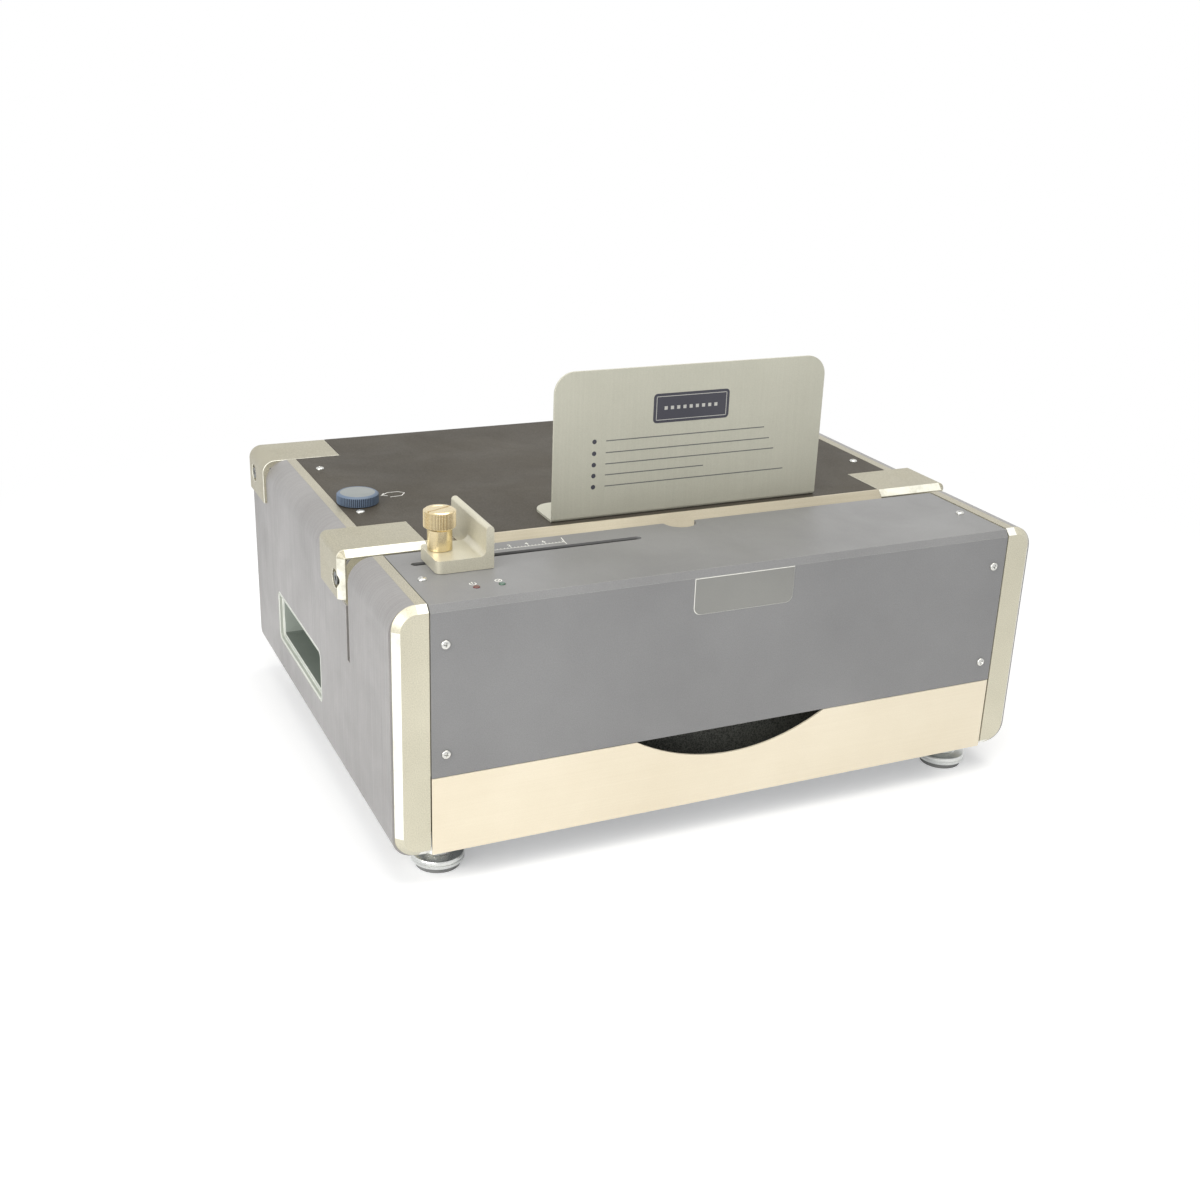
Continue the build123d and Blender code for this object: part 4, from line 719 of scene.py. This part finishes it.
# ---------------------------------------------------------------- corner brackets
# L-shaped brackets milled from bar, blasted and anodised champagne, with a bright milled bevel
# at the front.  A black socket-head screw is sunk in each ear.
bracket_metal = finish("blasted champagne bracket", (152, 147, 129), (198, 193, 173), 0.5, (0.36, 0.5),
                       grain_mm=0.8, grain_share=0.75, drift_share=0.2, relief_mm=0.02, worn=(242, 241, 228),
                       wear_amount=1.2)
for place, rounding in (("mid", 2.0), ("rear", 11.0)):
    for side in ("left", "right"):
        eased(f"{side}_{place}_bracket", "housing", bracket_metal, 0.5,
              round_corner=rounding, bright=True)
socket_steel = finish("blackened socket screw", (96, 98, 96), (150, 152, 150), 0.9, (0.3, 0.45), grain_mm=0.7,
                      relief_mm=0.01, worn=(190, 190, 186))
eased("bracket_screws", "housing", socket_steel, 0.25)

# ---------------------------------------------------------------- paper rest
# A plate bent from one anodised aluminium sheet, satin champagne, screwed down by its foot.  It
# carries a plain dark plaque and, under it, five printed dots and rules.
rest_metal = finish("satin champagne sheet", (188, 187, 172), (208, 207, 192), 0.12, (0.38, 0.5),
                    grain_mm=0.7, grain_share=0.4, drift_share=0.4, along=(500.0, 500.0, 6.0),
                    line_share=0.25, relief_mm=0.006, worn=(228, 225, 208), wear_amount=0.7)
eased("backrest", "housing", rest_metal, 0.25)
plaque_dark = finish("dark plaque enamel", (58, 58, 68), (76, 76, 86), 0.0, (0.3, 0.42), grain_mm=0.4,
                     relief_mm=0.006)
ink_grey = finish("dark grey screen print", (104, 106, 104), (128, 130, 126), 0.0, (0.45, 0.6), grain_mm=0.4,
                  relief_mm=0.006)
print_pale = finish("pale screen print", (188, 188, 184), (214, 214, 208), 0.0, (0.45, 0.6), grain_mm=0.4,
                    relief_mm=0.006)
plaque_x, plaque_z, plaque_corner = (-13.6, 54.4), (293.6, 317.4), 3.2
plaque_proud, plaque_thick, plaque_bevel = 0.22, 0.24, 0.06
ink_proud, plaque_ink_proud = 0.05, 0.26                  # both from the rest's own face
plaque = plate(sheet_outline(plaque_x, plaque_z, plaque_corner), rest_face - plaque_proud, plaque_thick,
               plaque_bevel)
dressed(as_piece("plaque", plaque, plaque_dark), "housing")


def joined_marks(name, outlines, y, material):
    """Flat printed shapes on one upright face, from outlines in (x, z), mm, as one piece."""
    shape = bmesh.new()
    for points in outlines:
        face = shape.faces.new([shape.verts.new(mm(px, y, pz)) for px, pz in points])
        face.normal_update()
        if face.normal.y > 0:
            face.normal_flip()
    return as_piece(name, shape, material)


def bar(x, z):
    """Outline of a printed bar between limits."""
    return [(x[0], z[0]), (x[1], z[0]), (x[1], z[1]), (x[0], z[1])]


frame_x, frame_z, stroke = (-11.2, 52.0), (295.8, 315.2), 0.5
plaque_marks = [bar(frame_x, (frame_z[0], frame_z[0] + stroke)),
                bar(frame_x, (frame_z[1] - stroke, frame_z[1])),
                bar((frame_x[0], frame_x[0] + stroke), frame_z),
                bar((frame_x[1] - stroke, frame_x[1]), frame_z)]
square_x, square_z, square_pitch = (-4.0, -1.2), (304.1, 306.9), 5.6
plaque_marks += [bar((square_x[0] + square_pitch * i, square_x[1] + square_pitch * i),
                     square_z) for i in range(9)]
# height and right end of each printed row
rows = ((282.8, 89.0), (273.2, 94.5), (264.0, 99.5), (255.0, 34.0), (245.8, 110.0))
dot_x, dot_radius, dot_sides = -64.0, 1.9, 20
rule_left, half_rule = -54.0, 0.45
angles = [2 * pi * k / dot_sides for k in range(dot_sides)]
dots = [[(dot_x + dot_radius * cos(a), z + dot_radius * sin(a)) for a in angles] for z, _ in rows]
rules = [bar((rule_left, end), (z - half_rule, z + half_rule)) for z, end in rows]
for name, outlines, proud, ink in (("plaque_marks", plaque_marks, plaque_ink_proud, print_pale),
                                   ("rest_dots", dots, ink_proud, plaque_dark),
                                   ("rest_rules", rules, ink_proud, ink_grey)):
    dressed(joined_marks(name, outlines, rest_face - proud, ink), "housing")

# ---------------------------------------------------------------- edge guide
# An L-shaped block milled from aluminium bar, blasted and anodised like the brackets, that
# slides along the slot on a steel nut plate.
guide_metal = finish("blasted champagne guide", (196, 192, 173), (228, 224, 206), 0.45, (0.34, 0.48),
                     grain_mm=0.7, grain_share=0.6, drift_share=0.25, relief_mm=0.015, worn=(250, 248, 236),
                     wear_amount=1.0)
eased("edge_guide", "guide", guide_metal, 0.6, 3)
keep("guide_clamp_plate", ground_steel)

# ---------------------------------------------------------------- thumb screw
# Turned brass with a plain neck and a straight-knurled head that has a coin slot, on a steel
# shank that goes through the guide and its slot.
brass = finish("turned brass", (204, 184, 140), (244, 229, 192), 1.0, (0.2, 0.36), grain_mm=0.8,
               grain_share=0.3, along=(60.0, 60.0, 1800.0), line_share=0.3, relief_mm=0.006,
               worn=(250, 240, 208))
# A darker brass for the core between the knurl ribs: painted shade in the grooves.
brass_root_painted_shade = finish("brass between the knurls in painted shade", (116, 98, 62), (162, 140, 96), 0.6, (0.4, 0.6), grain_mm=0.6)
thumb_low, thumb_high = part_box("thumb_screw")
thumb_at = Vector(((thumb_low.x + thumb_high.x) / 2, (thumb_low.y + thumb_high.y) / 2, 0))
seat, top = 228.9, thumb_high.z * 1000                    # its seat on the guide, and its head's top
neck_length = 16.5
neck_top = seat + neck_length
shank = [(0, thumb_low.z * 1000), (3, thumb_low.z * 1000), (3, seat)]
neck = [(8.7, seat), (9.2, seat + 0.5), (9.2, neck_top - 0.9), (8.8, neck_top - 0.4), (8.8, neck_top)]
head = [(10.5, neck_top + 0.05), (11.5, neck_top + 1.0), (11.5, top - 1.1), (10.7, top - 0.15), (10.3, top),
        (7.6, top), (7.3, top - 0.25), (0, top - 0.25)]
stem = as_piece("thumb_screw_turned", turned(shank + neck + head, thumb_at), brass, 32)
slot_size, slot_turn = (0.03, 0.001, 0.0016, 1), radians(24)
slot_cut = bmesh.new()
bmesh.ops.create_cube(slot_cut, size=1.0, matrix=Matrix.Translation(thumb_at + Vector((0, 0, top / 1000)))
                      @ Matrix.Rotation(slot_turn, 4, "Z") @ Matrix.Diagonal(slot_size))
cutter = as_piece("slot_cut", slot_cut, brass)
cut = stem.modifiers.new("coin slot", "BOOLEAN")
cut.object, cut.solver = cutter, "EXACT"
plain = bpy.data.meshes.new_from_object(stem.evaluated_get(bpy.context.evaluated_depsgraph_get()))
stem.modifiers.clear()
stem.data = plain
bpy.data.objects.remove(cutter)
stem.data.set_sharp_from_angle(angle=radians(32))
dressed(stem, "thumb", ["thumb_screw"])

# Knurls and finger ribs: round bars half sunk in the rim that they run round.
ribs, given, out = group_tree(
    "ribs round a rim", "GeometryNodeTree",
    [("Geometry", "NodeSocketGeometry", None), ("Count", "NodeSocketInt", 60),
     ("Rim Radius", "NodeSocketFloat", 0.01), ("Rib Radius", "NodeSocketFloat", 0.0004),
     ("Rib Height", "NodeSocketFloat", 0.01), ("Sides", "NodeSocketInt", 6),
     ("Finish", "NodeSocketMaterial", None)],
    [("Geometry", "NodeSocketGeometry")])
ring = put(ribs, "GeometryNodeMeshCircle", {"Vertices": given["Count"], "Radius": given["Rim Radius"]})
rib = put(ribs, "GeometryNodeMeshCylinder", {"Vertices": given["Sides"], "Radius": given["Rib Radius"],
                                             "Depth": given["Rib Height"]})
row = put(ribs, "GeometryNodeInstanceOnPoints", {"Points": ring.outputs["Mesh"],
                                                 "Instance": rib.outputs["Mesh"]})
row = put(ribs, "GeometryNodeRealizeInstances", {"Geometry": row.outputs["Instances"]})
row = put(ribs, "GeometryNodeSetMaterial", {"Geometry": row.outputs["Geometry"], "Material": given["Finish"]})
ribs.links.new(row.outputs["Geometry"], out["Geometry"])

rim_low, rim_high, root_radius = neck_top + 1.1, top - 1.2, 11.52
# The core under the ribs takes the darker brass: painted shade between them.
root = turned([(0, rim_low), (root_radius, rim_low), (root_radius, rim_high), (0, rim_high)], thumb_at)
dressed(as_piece("thumb_screw_root", root, brass_root_painted_shade, 30), "thumb")
knurl = grown("thumb_screw_knurl", ribs, {"Count": 66, "Rim Radius": 0.01156, "Rib Radius": 0.00042,
                                          "Rib Height": (top - neck_top - 2.2) / 1000, "Finish": brass})
knurl.data.transform(Matrix.Translation(thumb_at + Vector((0, 0, (top + neck_top) / 2000))))
dressed(knurl, "thumb")

# ---------------------------------------------------------------- margin knob
# A low moulded knob in blue-grey plastic with ribs round its side, pressed on a steel shaft.
knob_blue = finish("blue-grey moulded plastic", (92, 108, 132), (122, 138, 156), 0.0, (0.42, 0.58),
                   grain_mm=0.5, grain_share=0.4, drift_share=0.4, relief_mm=0.02)
knob_low, knob_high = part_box("margin_knob")
knob_at = Vector(((knob_low.x + knob_high.x) / 2, (knob_low.y + knob_high.y) / 2, 0))
low, top = knob_low.z * 1000, knob_high.z * 1000
# A much darker blue-grey for the core between the ribs: painted shade in the grooves.
knob_root_painted_shade = finish("blue-grey plastic between the ribs in painted shade", (34, 44, 62), (56, 68, 88), 0.0, (0.5, 0.7),
                   grain_mm=0.5)
knob_top = finish("brushed knob cap", (126, 132, 134), (162, 166, 164), 0.3, (0.36, 0.5), grain_mm=0.6,
                  along=(30.0, 900.0, 30.0), line_share=0.4, relief_mm=0.006)
disc = [(0, low), (16.0, low), (16.3, low + 0.4), (16.3, top - 1.3), (15.7, top - 0.45), (14.9, top),
        (14.2, top), (14.1, top - 0.15), (0, top - 0.15)]
rim_low, rim_high, root_radius = low + 0.5, top - 1.4, 16.33
root = [(0, rim_low), (root_radius, rim_low), (root_radius, rim_high), (0, rim_high)]
cap = [(0, top - 0.3), (14.05, top - 0.3), (14.05, top - 0.1), (13.9, top - 0.05), (0, top - 0.05)]
# The root under the ribs takes the darker plastic: painted shade between them.
for name, profile, material, stands_for in (("margin_knob_root", root, knob_root_painted_shade, ()),
                                            ("margin_knob_cap", cap, knob_top, ()),
                                            ("margin_knob_moulded", disc, knob_blue, ["margin_knob"])):
    dressed(as_piece(name, turned(profile, knob_at), material, 30), "knob", stands_for)
grip = grown("margin_knob_ribs", ribs, {"Count": 66, "Rim Radius": 0.01648, "Rib Radius": 0.00046,
                                        "Rib Height": (rim_high - rim_low + 0.3) / 1000, "Finish": knob_blue})
grip.data.transform(Matrix.Translation(knob_at + Vector((0, 0, (rim_low + rim_high) / 2000))))
dressed(grip, "knob")
keep("knob_shaft", ground_steel)

# ---------------------------------------------------------------- back cover and electrics
# A flat sheet in the dark powder coat, with cooling slots beside the motor.  The mains inlet,
# the switch and the fuse holder are black mouldings clipped into it.
eased("back_cover", "housing", dark_coat, 0.25)
black_moulding = finish("black moulded plastic", (20, 20, 21), (38, 38, 40), 0.0, (0.35, 0.55), grain_mm=0.5,
                        relief_mm=0.03, worn=(60, 60, 62))
for node in ("power_inlet", "switch_housing", "fuse_holder"):
    eased(node, "housing", black_moulding, 0.25)
eased("switch_rocker", "rocker", black_moulding, 0.25)

# ---------------------------------------------------------------- studio
# A plain pale floor under a soft even light, seen from the photograph's place.
pale = bpy.data.materials.new("pale floor")
pale.use_nodes = True
tree = pale.node_tree
tree.nodes.remove(tree.nodes["Principled BSDF"])
matt = put(tree, "ShaderNodeBsdfDiffuse", {"Color": (0.88, 0.885, 0.9, 1)})
lift = put(tree, "ShaderNodeEmission", {"Color": (1, 1, 1, 1), "Strength": 0.3})
rays = put(tree, "ShaderNodeLightPath").outputs
seen = put(tree, "ShaderNodeMath", {0: rays["Is Camera Ray"], 1: rays["Is Glossy Ray"]}, operation="MAXIMUM")
lifted = put(tree, "ShaderNodeAddShader", {0: matt.outputs["BSDF"], 1: lift.outputs["Emission"]})
place = put(tree, "ShaderNodeTexCoord").outputs["Object"]
reach = put(tree, "ShaderNodeVectorMath", {0: place}, operation="LENGTH")
reach = put(tree, "ShaderNodeMapRange", {"Value": reach.outputs["Value"], "From Min": 0.34, "From Max": 1.0},
            interpolation_type="SMOOTHSTEP")
blank = put(tree, "ShaderNodeEmission", {"Color": (1, 1, 1, 1), "Strength": 1.0})
faded = put(tree, "ShaderNodeMixShader", {0: reach.outputs["Result"], 1: lifted.outputs["Shader"],
                                          2: blank.outputs["Emission"]})
mixed = put(tree, "ShaderNodeMixShader", {0: seen.outputs["Value"], 1: matt.outputs["BSDF"],
                                          2: faded.outputs["Shader"]})
tree.links.new(mixed.outputs["Shader"], tree.nodes["Material Output"].inputs["Surface"])
ground = bmesh.new()
bmesh.ops.create_grid(ground, x_segments=1, y_segments=1, size=6.0)
floor = as_piece("floor", ground, pale)

world = bpy.data.worlds.new("studio")
bpy.context.scene.world = world
world.use_nodes = True
tree = world.node_tree
tree.nodes.clear()
rays = put(tree, "ShaderNodeLightPath").outputs
seen = put(tree, "ShaderNodeMath", {0: rays["Is Camera Ray"], 1: rays["Is Glossy Ray"]}, operation="MAXIMUM")
seen = put(tree, "ShaderNodeMath", {0: seen.outputs["Value"], 1: rays["Is Transmission Ray"]},
           operation="MAXIMUM")
soft = put(tree, "ShaderNodeBackground", {"Color": (0.975, 0.985, 1.0, 1), "Strength": 0.5})
white = put(tree, "ShaderNodeBackground", {"Color": (1, 1, 1, 1), "Strength": 1.0})
mixed = put(tree, "ShaderNodeMixShader", {0: seen.outputs["Value"], 1: soft.outputs["Background"],
                                          2: white.outputs["Background"]})
sky = put(tree, "ShaderNodeOutputWorld")
tree.links.new(mixed.outputs["Shader"], sky.inputs["Surface"])

for name, place, size_m, power, tint in (
        ("soft_light_left", (-1.5, -0.9, 0.9), 1.4, 20.0, (1.0, 0.985, 0.95)),
        ("soft_light_top", (0.2, -0.3, 2.2), 1.8, 26.0, (1.0, 0.97, 0.88))):
    lamp = bpy.data.lights.new(name, "AREA")
    lamp.shape, lamp.size, lamp.energy, lamp.color = "SQUARE", size_m, power, tint
    holder = bpy.data.objects.new(name, lamp)
    bpy.context.scene.collection.objects.link(holder)
    holder.location = place
    holder.rotation_euler = (Vector((0, 0, 0.15)) - Vector(place)).to_track_quat("-Z", "Y").to_euler()

lens = bpy.data.cameras.new("camera")
lens.lens, lens.sensor_width = 44.6997, 36.0
lens.shift_x, lens.shift_y = -0.0026245, 0.0048899
lens.clip_end = 50.0
camera = bpy.data.objects.new("camera", lens)
bpy.context.scene.collection.objects.link(camera)
camera_place = (-0.5375, -1.1029, 0.5964)
heading, dip, roll = -25.3828, 21.7868, 2.1432     # degrees, as solved from the edges in the photograph
turn = (Matrix.Rotation(radians(heading), 4, "Z") @ Matrix.Rotation(radians(90 - dip), 4, "X")
        @ Matrix.Rotation(radians(roll), 4, "Z"))
camera.matrix_world = Matrix.Translation(camera_place) @ turn
bpy.context.scene.camera = camera
bpy.context.scene.view_settings.view_transform = "Standard"
